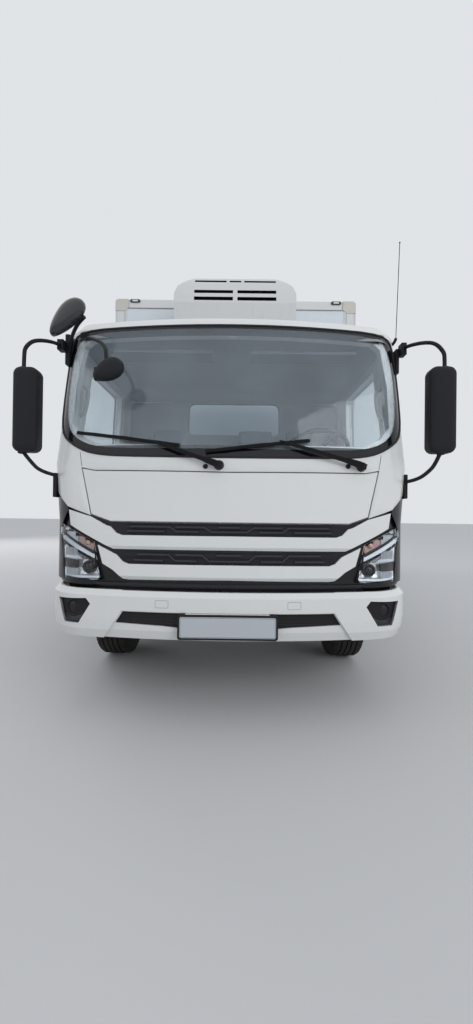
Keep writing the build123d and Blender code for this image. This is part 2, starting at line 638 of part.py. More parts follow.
front_guard = arc_guard(620, 1030, FRONT_AXLE, 475, 35, 12, 6)
front_stay = block(FRAME_HALF, 640, FRONT_AXLE + 380, FRONT_AXLE + 410, 680, 710)
front_stay = front_stay - disc(500, 1500, FRONT_AXLE, TYRE_RADIUS, 478)
rear_guard = arc_guard(570, 1085, REAR_AXLE, 450, 20, 8, 6)
rear_stay = block(FRAME_HALF, 590, REAR_AXLE + 360, REAR_AXLE + 400, 640, 680)
rear_stay = rear_stay - disc(500, 1500, REAR_AXLE, TYRE_RADIUS, 453)
flap = block(600, 1060, REAR_AXLE + 446, REAR_AXLE + 454, 130, 470)
rear_guard_set = fused([rear_guard, rear_stay, flap])
front_guard_set = fused([front_guard, front_stay])
keep("mudguards", front_guard_set, mirrored(front_guard_set), rear_guard_set, mirrored(rear_guard_set))

# Side guards between the axles and the rear underrun bar
GUARD_X = 1150
guard_bars = [block(GUARD_X, GUARD_X + 30, 1850, 4950, z, z + 90) for z in (440, 660)]
under_bar = block(-GUARD_X, GUARD_X, 7060, 7160, 420, 540)
keep("guard_rails", *guard_bars, *[mirrored(bar) for bar in guard_bars], under_bar)
for station in (2050, 3100, 4150, 4850):
    bracket_set.append(block(GUARD_X - 30, GUARD_X, station, station + 60, 400, BOX_BOTTOM))
bracket_set.append(block(FRAME_HALF - 90, FRAME_HALF, 7070, 7150, 540, RAIL_BOTTOM))

# Lamps on the load box: tail lamp clusters, front and roof markers
TAIL_LAMP_X = 760
tail_lamp = block(TAIL_LAMP_X, TAIL_LAMP_X + 360, 7180, 7235, 560, 700)
lamp_plate = block(TAIL_LAMP_X, TAIL_LAMP_X + 360, 7172, 7180, 560, BOX_BOTTOM - 60)
MARKER_X = BOX_HALF - 205
MARKER_TOP = BOX_TOP - 2
marker = rounded_along([
    (MARKER_X - 55, MARKER_TOP - 40), (MARKER_X + 55, MARKER_TOP - 40), (MARKER_X + 55, MARKER_TOP),
    (MARKER_X - 55, MARKER_TOP),
], 19, BOX_FRONT - 18, BOX_FRONT)
keep("body_lamps", tail_lamp, mirrored(tail_lamp), marker, mirrored(marker))
bracket_set.append(lamp_plate)
keep("frame_brackets", *bracket_set, *[mirrored(piece) for piece in bracket_set], *hanger_set)

# Load box panels
floor_half = BOX_HALF - WALL_THICK
keep("box_floor", block(-floor_half, floor_half, BOX_FRONT + WALL_THICK, FRAME_FRONT, BOX_BOTTOM,
                        BOX_FLOOR_TOP))
side_wall = block(floor_half, BOX_HALF, BOX_FRONT + WALL_THICK, FRAME_FRONT, BOX_BOTTOM, BOX_CEILING)
keep("box_side_walls", side_wall, mirrored(side_wall))
keep("box_front_wall", block(-BOX_HALF, BOX_HALF, BOX_FRONT, BOX_FRONT + WALL_THICK, BOX_BOTTOM,
                             BOX_CEILING))
keep("box_roof", block(-BOX_HALF, BOX_HALF, BOX_FRONT, FRAME_FRONT, BOX_CEILING, BOX_TOP))

# Rear frame: a portal with hinge lugs and pins
HINGES = [1250, 1850, 2550, 3150]
KNUCKLE = 60
LUG = 28
portal = block(-BOX_HALF, BOX_HALF, FRAME_FRONT, FRAME_BACK, BOX_BOTTOM, BOX_TOP)
portal = portal - block(-BOX_HALF + WALL_THICK, BOX_HALF - WALL_THICK, FRAME_FRONT - 1, FRAME_BACK + 1,
                        BOX_FLOOR_TOP, BOX_CEILING)
HINGE_STATION = DOOR_FACE + 8
for side in (1, -1):
    for z in HINGES:
        x = side * HINGE_X
        ear = block(x - 10, x + 10, FRAME_BACK, HINGE_STATION + 8, z - LUG, z)
        pin = rod((x, HINGE_STATION, z - 5), (x, HINGE_STATION, z + KNUCKLE), 5)
        portal = portal + ear + pin
keep("box_rear_frame", portal)

# Box doors with their hinge straps, and the lock bars on them
LEAF_OUTER = BOX_HALF - DOOR_EDGE_GAP
LEAF_LOW = BOX_FLOOR_TOP - 40
LEAF_HIGH = BOX_CEILING + 40
leaf = block(5, LEAF_OUTER, DOOR_INNER, DOOR_FACE, LEAF_LOW, LEAF_HIGH)
for z in HINGES:
    leaf = leaf + block(960, HINGE_X - 6, DOOR_FACE, DOOR_FACE + 8, z + 5, z + KNUCKLE - 5)
    barrel = rod((HINGE_X, HINGE_STATION, z + 5), (HINGE_X, HINGE_STATION, z + KNUCKLE - 5), 10)
    leaf = leaf + barrel
    leaf = leaf - rod((HINGE_X, HINGE_STATION, z), (HINGE_X, HINGE_STATION, z + KNUCKLE), 5.4)
keep("box_door_left", leaf)
keep("box_door_right", mirrored(leaf))
BAR_X = 210
BAR_RADIUS = 14
BAR_STATION = REAR_END - BAR_RADIUS
bar = rod((BAR_X, BAR_STATION, LEAF_LOW + 10), (BAR_X, BAR_STATION, LEAF_HIGH - 10), BAR_RADIUS)
for z in (1130, 1480, 2100, 2700, 3290):
    bar = bar + block(BAR_X - 40, BAR_X + 40, DOOR_FACE, BAR_STATION, z - 25, z + 25)
bar = bar + block(BAR_X, BAR_X + 420, BAR_STATION - 6, BAR_STATION + 8, 1600, 1630)
keep("lock_bars_left", bar)
keep("lock_bars_right", mirrored(bar))

# Cooling unit: a housing with rounded shoulders and louvre slots, and the evaporator inside the box
UNIT_BELT = 3130
unit_front = BOX_FRONT - UNIT_DEPTH
unit_outline = both_ways([
    (0, UNIT_BOTTOM), (UNIT_HALF - 35, UNIT_BOTTOM), (UNIT_HALF, UNIT_BOTTOM + 60),
    (UNIT_HALF, UNIT_TOP - 185), (UNIT_HALF - 30, UNIT_TOP - 105), (UNIT_HALF - 75, UNIT_TOP - 60),
    (UNIT_HALF - 135, UNIT_TOP - 20), (UNIT_HALF - 190, UNIT_TOP), (0, UNIT_TOP),
])
unit = prism_along(unit_outline, unit_front, BOX_FRONT)
nose_cut = prism_across([
    (unit_front - 5, UNIT_TOP + 5), (unit_front + 105, UNIT_TOP + 5), (unit_front + 100, UNIT_TOP - 5),
    (unit_front + 44, UNIT_TOP - 100), (unit_front + 12, UNIT_TOP - 200), (unit_front, UNIT_BELT),
    (unit_front + 100, UNIT_BOTTOM - 5), (unit_front - 5, UNIT_BOTTOM - 5),
], -700, 700)
unit = unit - nose_cut
# Columns: height of the slot's middle, its height, its stretches from x to x
LOUVRES = [
    (UNIT_TOP - 40, 22, [(-385, -85), (-55, 55), (85, 385)]),
    (UNIT_TOP - 171, SLOT_HEIGHT, [(-385, -22), (22, 385)]),
    (UNIT_TOP - 245, SLOT_HEIGHT, [(-385, -22), (22, 385)]),
]
for middle, height, stretches in LOUVRES:
    for x0, x1 in stretches:
        unit = unit - block(x0, x1, unit_front - 10, unit_front + 160, middle - height / 2,
                            middle + height / 2)
inner_wall = BOX_FRONT + WALL_THICK
evaporator = prism_across([
    (inner_wall, BOX_CEILING - 320), (inner_wall, BOX_CEILING - 20), (inner_wall + 300, BOX_CEILING - 20),
    (inner_wall + 300, BOX_CEILING - 170), (inner_wall + 170, BOX_CEILING - 320),
], -520, 520)
keep("cooling_unit", unit, evaporator)


# Front bumper: a bowed shell with a sloping ledge along its top, a lip set back below the
# intake, lamp recesses and intake slots
# Columns: height, how far the face stands back there; then the same for the hollow behind
BUMPER_FACE = [(BUMPER_BOTTOM, 26), (500, 6), (560, 0), (690, 0), (BUMPER_TOP, 28)]
BUMPER_HOLLOW = [(BUMPER_BOTTOM - 10, 30), (500, 6), (560, 0), (BUMPER_TOP + 10, 0)]
LIP_INSET = 16
MIDDLE_TOP = 718


def bumper_form(inset, profile, back):
    wires = []
    for height, set_back in profile:
        wires.append(plan_wire(height, 0, BUMPER_HALF, back, LOW_CORNER, inset + set_back))
    return Solid.make_loft(wires, ruled=True)


fog_outline = [(987, 660), (798, 672), (772, 641), (843, 529), (939, 526)]
slot_outline = [(225, 605), (586, 605), (628, 540), (360, 530), (225, 520)]
lip_outline = both_ways([(0, 612), (588, 612), (704, 440), (0, 440)])
dip_outline = both_ways([(0, MIDDLE_TOP), (587, MIDDLE_TOP), (650, BUMPER_TOP + 5), (0, BUMPER_TOP + 5)])
bumper_face = bumper_form(0, BUMPER_FACE, BUMPER_REACH)
bumper_space = bumper_form(BUMPER_WALL, BUMPER_HOLLOW, BUMPER_REACH + 200)
lip_cut = (bumper_face - bumper_form(LIP_INSET, BUMPER_FACE, BUMPER_REACH)) & prism_along(lip_outline, -100, 200)
bumper = bumper_face - bumper_space - lip_cut - prism_along(dip_outline, -100, 200)
fog_prism = prism_along(fog_outline, -100, 400)
slot_prism = prism_along(slot_outline, -100, 300)
for prism in (fog_prism, slot_prism):
    bumper = bumper - prism - mirrored(prism)
bumper_stay = block(FRAME_HALF - 60, FRAME_HALF, 0, RAIL_START, 570, 645) & bumper_space
keep("front_bumper", fused([bumper, bumper_stay, mirrored(bumper_stay)]))
insert_space = bumper_form(BUMPER_WALL, [(490, 6), (560, 0), (700, 0)], BUMPER_REACH + 200)
fog_band = bumper_form(20, BUMPER_FACE[1:4], BUMPER_REACH) - insert_space
slot_band = bumper_form(LIP_INSET + 10, BUMPER_FACE[1:4], BUMPER_REACH) - insert_space
fog = fog_band & fog_prism
mesh_bar = slot_band & slot_prism
keep("bumper_inserts", fog, mirrored(fog), mesh_bar, mirrored(mesh_bar))

# Blank number plate on its holder
plate_low = PLATE_CENTRE - PLATE_HEIGHT / 2
plate = block(-PLATE_WIDTH / 2 - 12, PLATE_WIDTH / 2 + 12, -PLATE_STAND, 34, plate_low - 12,
              plate_low + PLATE_HEIGHT + 12)
plate = plate - bumper - mesh_bar - mirrored(mesh_bar)
keep("number_plate", max(plate.solids(), key=lambda solid: solid.volume))

# Steering knuckles: fork, stub axle, brake backing plate and steering arm
ARM_HIGH = 330
ARM_LOW = 305
ARM_END = FRONT_AXLE + TIE_ARM
BACKING_X = 868


def knuckle_piece():
    upper = block(752, 866, FRONT_AXLE - 38, FRONT_AXLE + 38, BOSS_HIGH + 5, BOSS_HIGH + 42)
    lower = block(752, 866, FRONT_AXLE - 38, FRONT_AXLE + 38, BOSS_LOW - 40, BOSS_LOW - 5)
    web = block(836, 866, FRONT_AXLE - 60, FRONT_AXLE + 60, BOSS_LOW - 40, BOSS_HIGH + 42)
    pin = rod((KINGPIN_HALF, FRONT_AXLE, BOSS_LOW - 20), (KINGPIN_HALF, FRONT_AXLE, BOSS_HIGH + 20), 20)
    stub = disc(860, 985, FRONT_AXLE, TYRE_RADIUS, STUB_RADIUS)
    backing = disc(866, BACKING_X + 8, FRONT_AXLE, TYRE_RADIUS, DRUM_RADIUS - 8)
    ball_x = KINGPIN_HALF - TIE_INSET
    arm = block(ball_x - 20, ball_x + 20, FRONT_AXLE + 20, ARM_END + 20, ARM_LOW, ARM_HIGH)
    root = block(ball_x - 20, 800, FRONT_AXLE + 20, FRONT_AXLE + 38, ARM_LOW - 7, ARM_HIGH)
    return fused([upper, lower, web, pin, stub, backing, arm, root])


knuckle = knuckle_piece()
keep("knuckle_left", knuckle)
keep("knuckle_right", mirrored(knuckle))

# Tie rod below the arms
rod_x = KINGPIN_HALF - TIE_INSET
TIE_Z = 280
tie_rod = disc(-rod_x, rod_x, ARM_END, TIE_Z, 13)
for side in (1, -1):
    x = side * rod_x
    tie_rod = tie_rod + rod((x, ARM_END, TIE_Z - 18), (x, ARM_END, TIE_Z + 18), 20)
    tie_rod = tie_rod + rod((x, ARM_END, TIE_Z), (x, ARM_END, ARM_LOW - 0.5), 10)
keep("tie_rod", tie_rod)


# Wheels: steel rim, hub and drum in one piece, turned about the axle
def turned(profile, station):
    """Profile of (x, radius) points turned about the axle line."""
    face = Face(Wire.make_polygon([(x, 0, r) for x, r in profile]))
    solid = Solid.revolve(face, 360, Axis((0, 0, 0), (1, 0, 0)))
    return Pos(0, station, TYRE_RADIUS) * solid


def tyre_at(x, station):
    half = TYRE_WIDTH / 2
    profile = [
        (x - 92, RIM_RADIUS), (x + 92, RIM_RADIUS), (x + 108, RIM_RADIUS + 22), (x + half, 300),
        (x + 112, 352), (x + 97, 382), (x + 70, 394), (x, TYRE_RADIUS), (x - 70, 394), (x - 97, 382),
        (x - 112, 352), (x - half, 300), (x - 108, RIM_RADIUS + 22),
    ]
    return turned(profile, station)


front_x = FRONT_TRACK / 2
bore = STUB_RADIUS + STUB_CLEARANCE
front_profile = [
    (front_x - 92, RIM_RADIUS), (front_x - 92, 205), (front_x + 40, 198), (front_x + 40, DRUM_RADIUS),
    (front_x - 18, DRUM_RADIUS), (front_x - 18, 160), (front_x + 30, 160), (front_x + 30, HUB_RADIUS),
    (front_x - 18, HUB_RADIUS), (front_x - 18, bore), (front_x + 90, bore), (front_x + 90, 0),
    (front_x + 132, 0), (front_x + 132, 50), (front_x + 120, HUB_RADIUS), (front_x + 92, 80),
    (front_x + 80, 135), (front_x + 48, 190), (front_x + 92, 205), (front_x + 92, RIM_RADIUS),
]
front_wheel = turned(front_profile, FRONT_AXLE)
front_tyre = tyre_at(front_x, FRONT_AXLE)
rear_x = REAR_TRACK / 2
inner_x = rear_x - TWIN_SPACING / 2
outer_x = rear_x + TWIN_SPACING / 2
rear_profile = [
    (inner_x - 92, RIM_RADIUS), (inner_x - 92, 205), (inner_x + 20, 198), (rear_x - 20, DRUM_RADIUS),
    (rear_x - 184, DRUM_RADIUS), (rear_x - 184, 160), (rear_x - 30, 160), (rear_x - 30, 90),
    (rear_x - 110, 90), (rear_x - 110, 51.5), (rear_x + 90, 51.5), (rear_x + 90, 0), (rear_x + 175, 0),
    (rear_x + 175, 70), (rear_x + 150, 95), (rear_x + 60, 105), (rear_x + 16, 150),
    (outer_x - 80, 195), (outer_x + 92, 205), (outer_x + 92, RIM_RADIUS), (outer_x - 92, RIM_RADIUS),
    (rear_x, 178), (inner_x + 92, RIM_RADIUS),
]
rear_wheel = turned(rear_profile, REAR_AXLE)
rear_tyres = [tyre_at(inner_x, REAR_AXLE), tyre_at(outer_x, REAR_AXLE)]
keep("wheel_front_left", front_wheel)
keep("wheel_front_right", mirrored(front_wheel))
keep("tyre_front_left", front_tyre)
keep("tyre_front_right", mirrored(front_tyre))
keep("wheel_rear_left", rear_wheel)
keep("wheel_rear_right", mirrored(rear_wheel))
keep("tyres_rear_left", *rear_tyres)
keep("tyres_rear_right", *[mirrored(tyre) for tyre in rear_tyres])

# Every node is moved so that the ground plan's middle is the origin, and written
for name, solids in nodes.items():
    placed = [solid.moved(Location((0, -MIDDLE, 0))) for solid in solids]
    whole = placed[0] if len(placed) == 1 else Compound(children=placed)
    export_step(whole, os.path.join("parts", name + ".step"))
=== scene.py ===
import bmesh
import bpy
import json
from math import asin, atan2, cos, pi, radians, sin, sqrt
from mathutils import Matrix, Vector


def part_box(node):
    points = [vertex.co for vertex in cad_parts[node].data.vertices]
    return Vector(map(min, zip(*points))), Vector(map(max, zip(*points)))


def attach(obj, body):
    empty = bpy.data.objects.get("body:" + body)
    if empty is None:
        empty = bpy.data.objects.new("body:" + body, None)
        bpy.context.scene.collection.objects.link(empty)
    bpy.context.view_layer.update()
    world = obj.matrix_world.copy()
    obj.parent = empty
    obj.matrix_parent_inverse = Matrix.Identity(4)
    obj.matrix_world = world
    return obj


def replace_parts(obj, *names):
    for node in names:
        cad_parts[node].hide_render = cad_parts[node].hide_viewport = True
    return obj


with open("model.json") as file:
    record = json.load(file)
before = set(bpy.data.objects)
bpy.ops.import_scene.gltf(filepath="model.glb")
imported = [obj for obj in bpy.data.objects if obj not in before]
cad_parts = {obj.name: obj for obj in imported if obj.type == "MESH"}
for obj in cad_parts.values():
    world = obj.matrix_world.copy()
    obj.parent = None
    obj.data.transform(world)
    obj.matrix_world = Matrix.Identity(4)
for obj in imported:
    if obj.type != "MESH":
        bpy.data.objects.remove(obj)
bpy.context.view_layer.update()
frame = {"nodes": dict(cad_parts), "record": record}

# Refrigerated truck, metres, on the CAD frame: X to the truck's left, Y backwards, Z up.
# Lengthways places are stations, measured back from the front face of the bumper.

# Chassis frame: two pressed steel channels with crossmembers, bolted brackets and the
# bearers of the load box. Dipped in black chassis paint, which is satin and collects
# road dust from below.
NODES = frame["nodes"]
BODY_OF = {node: body for body, nodes in frame["record"]["behaviour"]["bodies"].items() for node in nodes}
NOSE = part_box("front_bumper")[0].y
SIDES = ((1, "left"), (-1, "right"))
DUST_COLOUR = (0.30, 0.27, 0.23, 1.0)


def at(x, station, z):
    return Vector((x, NOSE + station, z))


def add(tree, kind, sockets=(), **settings):
    """Adds a node. Each given socket gets a plain value or another node's output."""
    made = tree.nodes.new(kind)
    for name, setting in settings.items():
        setattr(made, name, setting)
    for key, given in dict(sockets).items():
        if isinstance(given, bpy.types.NodeSocket):
            tree.links.new(given, made.inputs[key])
        else:
            made.inputs[key].default_value = given
    return made


def calc(tree, operation, a, b=0.0):
    return add(tree, "ShaderNodeMath", {0: a, 1: b}, operation=operation).outputs[0]


def noise(tree, vector, scale, detail, rough=0.5):
    return add(tree, "ShaderNodeTexNoise", {"Vector": vector, "Scale": scale, "Detail": detail,
                                            "Roughness": rough}).outputs["Fac"]


def ranged(tree, value, start, end, first, last):
    return add(tree, "ShaderNodeMapRange", {"Value": value, "From Min": start, "From Max": end,
                                            "To Min": first, "To Max": last}).outputs["Result"]


def stretched(tree, vector, scale):
    return add(tree, "ShaderNodeVectorMath", {0: vector, 1: scale}, operation="MULTIPLY").outputs[0]


def group(name, kind, inputs, outputs):
    """Empty node group: its tree, what it is given, and where its results go."""
    tree = bpy.data.node_groups.new(name, kind)
    for in_out, sockets in (("INPUT", inputs), ("OUTPUT", outputs)):
        for label, socket in sockets.items():
            tree.interface.new_socket(label, in_out=in_out, socket_type="NodeSocket" + socket)
    return tree, tree.nodes.new("NodeGroupInput").outputs, tree.nodes.new("NodeGroupOutput").inputs


def colour_drift_group():
    """Paint and plastic are never quite even: lighter and darker fields, and faint streaks."""
    tree, given, out = group("colour drift", "ShaderNodeTree", {
        "Vector": "Vector", "Colour": "Color", "Scale": "Float", "Amount": "Float"},
        {"Colour": "Color", "Field": "Float"})
    fields = noise(tree, given["Vector"], given["Scale"], 4.0, 0.6)
    streaks = noise(tree, stretched(tree, given["Vector"], (9.0, 9.0, 0.7)), 1.5, 3.0)
    field = calc(tree, "ADD", calc(tree, "MULTIPLY", fields, 0.7), calc(tree, "MULTIPLY", streaks, 0.3))
    swing = calc(tree, "MULTIPLY", calc(tree, "SUBTRACT", field, 0.5), given["Amount"])
    gain = calc(tree, "ADD", calc(tree, "MULTIPLY", swing, 4.0), 1.0)
    shaded = add(tree, "ShaderNodeVectorMath", {0: given["Colour"], "Scale": gain}, operation="SCALE")
    tree.links.new(shaded.outputs[0], out["Colour"])
    tree.links.new(field, out["Field"])
    return tree


def road_dust_group():
    """Dust thrown up from the road: thick below, thin above, and more on upward faces."""
    tree, given, out = group("road dust", "ShaderNodeTree", {
        "Vector": "Vector", "Normal": "Vector", "Top": "Float", "Amount": "Float"}, {"Mask": "Float"})
    height = add(tree, "ShaderNodeSeparateXYZ", {0: given["Vector"]}).outputs["Z"]
    upward = add(tree, "ShaderNodeSeparateXYZ", {0: given["Normal"]}).outputs["Z"]
    low = calc(tree, "POWER", ranged(tree, height, 0.0, given["Top"], 1.0, 0.0), 1.6)
    lying = calc(tree, "MULTIPLY", calc(tree, "MAXIMUM", upward, 0.0), 0.45)
    clouds = calc(tree, "MULTIPLY", noise(tree, given["Vector"], 5.0, 7.0, 0.68), 0.75)
    specks = calc(tree, "MULTIPLY", noise(tree, given["Vector"], 120.0, 2.0), 0.35)
    mask = calc(tree, "MULTIPLY", calc(tree, "ADD", low, lying), calc(tree, "ADD", clouds, specks))
    mask = calc(tree, "MINIMUM", calc(tree, "MULTIPLY", mask, given["Amount"]), 0.95)
    tree.links.new(mask, out["Mask"])
    return tree


def grain_group():
    """Fine relief for moulded plastic, cast iron, sprayed paint and board."""
    tree, given, out = group("surface grain", "ShaderNodeTree", {
        "Vector": "Vector", "Scale": "Float", "Coarse": "Float"}, {"Height": "Float"})
    fine = noise(tree, given["Vector"], given["Scale"], 3.0, 0.55)
    broad = noise(tree, given["Vector"], calc(tree, "MULTIPLY", given["Scale"], 0.08), 2.0)
    mixed = add(tree, "ShaderNodeMix", {0: given["Coarse"], 2: fine, 3: broad})
    tree.links.new(mixed.outputs[0], out["Height"])
    return tree


COLOUR_DRIFT, ROAD_DUST, GRAIN = colour_drift_group(), road_dust_group(), grain_group()


def blank_material(name):
    """New material: itself, its tree, its shader and its object coordinates."""
    material = bpy.data.materials.new(name)
    material.use_nodes = True
    tree = material.node_tree
    return material, tree, tree.nodes["Principled BSDF"], add(tree, "ShaderNodeTexCoord").outputs["Object"]


def finish(name, colour, rough, metallic=0.0, coat=0.0, drift=0.03, drift_scale=1.5, grain=400.0,
           depth=0.0002, coarse=0.3, dust=0.3, dust_top=1.2, spread=0.08, stretch=(1.0, 1.0, 1.0), shine=0.5):
    """Material of one finish: its colour with drift, dust, and relief in its roughness and normal."""
    material, tree, shader, place = blank_material(name)
    facing = add(tree, "ShaderNodeNewGeometry").outputs["Normal"]
    drifting = add(tree, "ShaderNodeGroup", {"Vector": place, "Colour": (*colour, 1.0), "Scale": drift_scale,
                                             "Amount": drift}, node_tree=COLOUR_DRIFT).outputs
    dusting = add(tree, "ShaderNodeGroup", {"Vector": place, "Normal": facing, "Top": dust_top,
                                            "Amount": dust}, node_tree=ROAD_DUST).outputs["Mask"]
    dusted = add(tree, "ShaderNodeMix", {"Factor": dusting, 6: drifting["Colour"], 7: DUST_COLOUR},
                 data_type="RGBA")
    tree.links.new(dusted.outputs[2], shader.inputs["Base Color"])
    uneven = ranged(tree, drifting["Field"], 0.3, 0.7, max(rough - spread, 0.03), min(rough + spread, 1.0))
    dulled = add(tree, "ShaderNodeMix", {"Factor": dusting, 2: uneven, 3: 0.85})
    tree.links.new(dulled.outputs[0], shader.inputs["Roughness"])
    grained = add(tree, "ShaderNodeGroup", {"Vector": stretched(tree, place, stretch), "Scale": grain,
                                            "Coarse": coarse}, node_tree=GRAIN).outputs["Height"]
    relief = add(tree, "ShaderNodeBump", {"Height": grained, "Distance": depth, "Strength": 1.0})
    tree.links.new(relief.outputs[0], shader.inputs["Normal"])
    for label, value in (("Metallic", metallic), ("Coat Weight", coat), ("Coat Roughness", 0.06),
                         ("Specular IOR Level", shine)):
        shader.inputs[label].default_value = value
    return material


def dress(material, *nodes):
    """A CAD node whose shape is right keeps its mesh and gets its finish."""
    for node in nodes:
        for holder in NODES[node].material_slots:
            holder.material = material


def placed(name, data):
    made = bpy.data.objects.new(name, data)
    bpy.context.scene.collection.objects.link(made)
    return made


def meshed(name, form, *materials):
    mesh = bpy.data.meshes.new(name)
    form.to_mesh(mesh)
    form.free()
    for material in materials:
        mesh.materials.append(material)
    return mesh


def merge(whole, part):
    """Adds one form to another and frees it."""
    mesh = meshed("part", part)
    whole.from_mesh(mesh)
    bpy.data.meshes.remove(mesh)


def settle(piece):
    """Turns live modifiers and curves into a plain mesh at the origin."""
    depsgraph = bpy.context.evaluated_depsgraph_get()
    mesh = bpy.data.meshes.new_from_object(piece.evaluated_get(depsgraph), depsgraph=depsgraph)
    name, material = piece.name, piece.active_material
    bpy.data.objects.remove(piece)
    mesh.name = name
    if material and not any(mesh.materials):
        mesh.materials.clear()
        mesh.materials.append(material)
    return placed(name, mesh)


def rounded_edges(mesh, angle):
    mesh.shade_smooth()
    mesh.set_sharp_from_angle(angle=radians(angle))


def edge_bevel(made, width, angle):
    bevel = made.modifiers.new("edges", "BEVEL")
    bevel.width, bevel.segments, bevel.limit_method = width, 2, "ANGLE"
    bevel.angle_limit, bevel.harden_normals = radians(angle), True


def tagged(made, body):
    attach(made, body)
    return made


def mesh_piece(name, form, material, body, bevel=0.0, smooth=40, thick=0.0, stands_for=None):
    """Object from a bmesh: made solid, its edges rounded, riding on its body."""
    mesh = meshed(name, form, material)
    rounded_edges(mesh, smooth)
    made = placed(name, mesh)
    if thick:
        wall = made.modifiers.new("wall", "SOLIDIFY")
        wall.thickness, wall.offset = thick, -1.0
    if bevel:
        edge_bevel(made, bevel, 35)
    if made.modifiers:
        made = settle(made)
    tagged(made, body)
    if stands_for:
        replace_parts(made, stands_for)
    return made


def softened(node, material, radius=0.003, angle=30, reshape=None, second=None):
    """A CAD node's shape with its triangles merged and its edges rounded as pressed or moulded."""
    form = bmesh.new()
    form.from_mesh(NODES[node].data)
    bmesh.ops.remove_doubles(form, verts=form.verts, dist=0.00003)
    bmesh.ops.dissolve_limit(form, angle_limit=radians(0.3), verts=form.verts, edges=form.edges)
    if reshape:
        reshape(form)
    mesh = meshed(node + "_finished", form, *([material, second] if second else [material]))
    rounded_edges(mesh, angle)
    made = placed(mesh.name, mesh)
    edge_bevel(made, radius, angle)
    made = settle(made)
    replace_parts(made, node)
    return tagged(made, BODY_OF[node])


def head_shape(tree, given):
    """A bolt head, nut or rivet on its washer."""
    head = add(tree, "GeometryNodeMeshCylinder", {"Vertices": given["Sides"], "Radius": given["Radius"],
                                                  "Depth": given["Height"]})
    raised = add(tree, "ShaderNodeCombineXYZ", {"Z": calc(tree, "MULTIPLY", given["Height"], 0.5)})
    head_up = add(tree, "GeometryNodeTransform", {"Geometry": head.outputs["Mesh"],
                                                  "Translation": raised.outputs[0]})
    washer = add(tree, "GeometryNodeMeshCylinder", {
        "Vertices": 14, "Radius": calc(tree, "MULTIPLY", given["Radius"], 1.45),
        "Depth": calc(tree, "MULTIPLY", given["Height"], 0.3)})
    both = add(tree, "GeometryNodeJoinGeometry")
    tree.links.new(head_up.outputs[0], both.inputs[0])
    tree.links.new(washer.outputs["Mesh"], both.inputs[0])
    return both.outputs[0]


def block_shape(tree, given):
    return add(tree, "GeometryNodeMeshCube", {"Size": given["Size"]}).outputs["Mesh"]


def attribute(tree, label):
    return add(tree, "GeometryNodeInputNamedAttribute", {"Name": label}, data_type="FLOAT_VECTOR").outputs[0]


def repeat_tree(name, inputs, shape, twisted=False):
    """One shape at every point, facing along an attribute and, for blocks, turned by another."""
    tree, given, out = group(name, "GeometryNodeTree", {"Points": "Geometry", **inputs, "Finish": "Material"},
                             {"Made": "Geometry"})
    turn = add(tree, "FunctionNodeAlignRotationToVector", {"Vector": attribute(tree, "facing")},
               axis="Z").outputs[0]
    if twisted:
        turn = add(tree, "FunctionNodeAlignRotationToVector", {
            "Rotation": turn, "Vector": attribute(tree, "along")}, axis="X", pivot_axis="Z").outputs[0]
    copies = add(tree, "GeometryNodeInstanceOnPoints", {"Points": given["Points"], "Rotation": turn,
                                                        "Instance": shape(tree, given)})
    real = add(tree, "GeometryNodeRealizeInstances", {0: copies.outputs[0]})
    painted = add(tree, "GeometryNodeSetMaterial", {"Geometry": real.outputs[0], "Material": given["Finish"]})
    tree.links.new(painted.outputs[0], out[0])
    return tree


HEADS = repeat_tree("fastener heads", {"Radius": "Float", "Height": "Float", "Sides": "Int"}, head_shape)
BLOCKS = repeat_tree("repeated blocks", {"Size": "Vector"}, block_shape, twisted=True)


def repeated(name, tree, rows, values, body):
    """Runs a tree on points. Each row is a place, the way it faces and, for blocks, its long way."""
    mesh = bpy.data.meshes.new(name)
    mesh.from_pydata([tuple(row[0]) for row in rows], [], [])
    for column, label in list(enumerate(("place", "facing", "along")))[1:len(rows[0])]:
        layer = mesh.attributes.new(label, "FLOAT_VECTOR", "POINT")
        for index, row in enumerate(rows):
            layer.data[index].vector = tuple(row[column])
    holder = placed(name, mesh)
    maker = holder.modifiers.new("repeat", "NODES")
    maker.node_group = tree
    for item in tree.interface.items_tree:
        if item.in_out == "INPUT" and item.name in values:
            maker[item.identifier] = values[item.name]
    return tagged(settle(holder), body)


def heads(name, rows, radius, height, sides, material, body):
    values = {"Radius": radius, "Height": height, "Sides": sides, "Finish": material}
    return repeated(name, HEADS, rows, values, body)


def blocks(name, rows, size, material, body):
    return repeated(name, BLOCKS, rows, {"Size": size, "Finish": material}, body)


chassis_black = finish("chassis black", (0.030, 0.031, 0.033), 0.42, drift=0.10, grain=220.0, depth=0.0005,
                       dust=0.75, dust_top=1.15)
zinc_steel = finish("zinc steel", (0.42, 0.42, 0.43), 0.38, metallic=0.85, drift=0.12, grain=300.0,
                    depth=0.0003, dust=0.5, dust_top=1.6)
dress(chassis_black, "frame_rails", "crossmembers", "frame_brackets", "body_bearers")
rail_low, rail_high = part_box("frame_rails")
BOLT_PITCH = 0.30
bolt_count = int((rail_high.y - rail_low.y - 0.3) / BOLT_PITCH)
heads("rail_bolts", [(Vector((side * rail_high.x, rail_low.y + 0.2 + k * BOLT_PITCH, rail_low.z + height)),
                      (side, 0, 0)) for side, _ in SIDES for k in range(bolt_count) for height in (0.055, 0.145)],
      0.011, 0.010, 6, zinc_steel, "chassis")

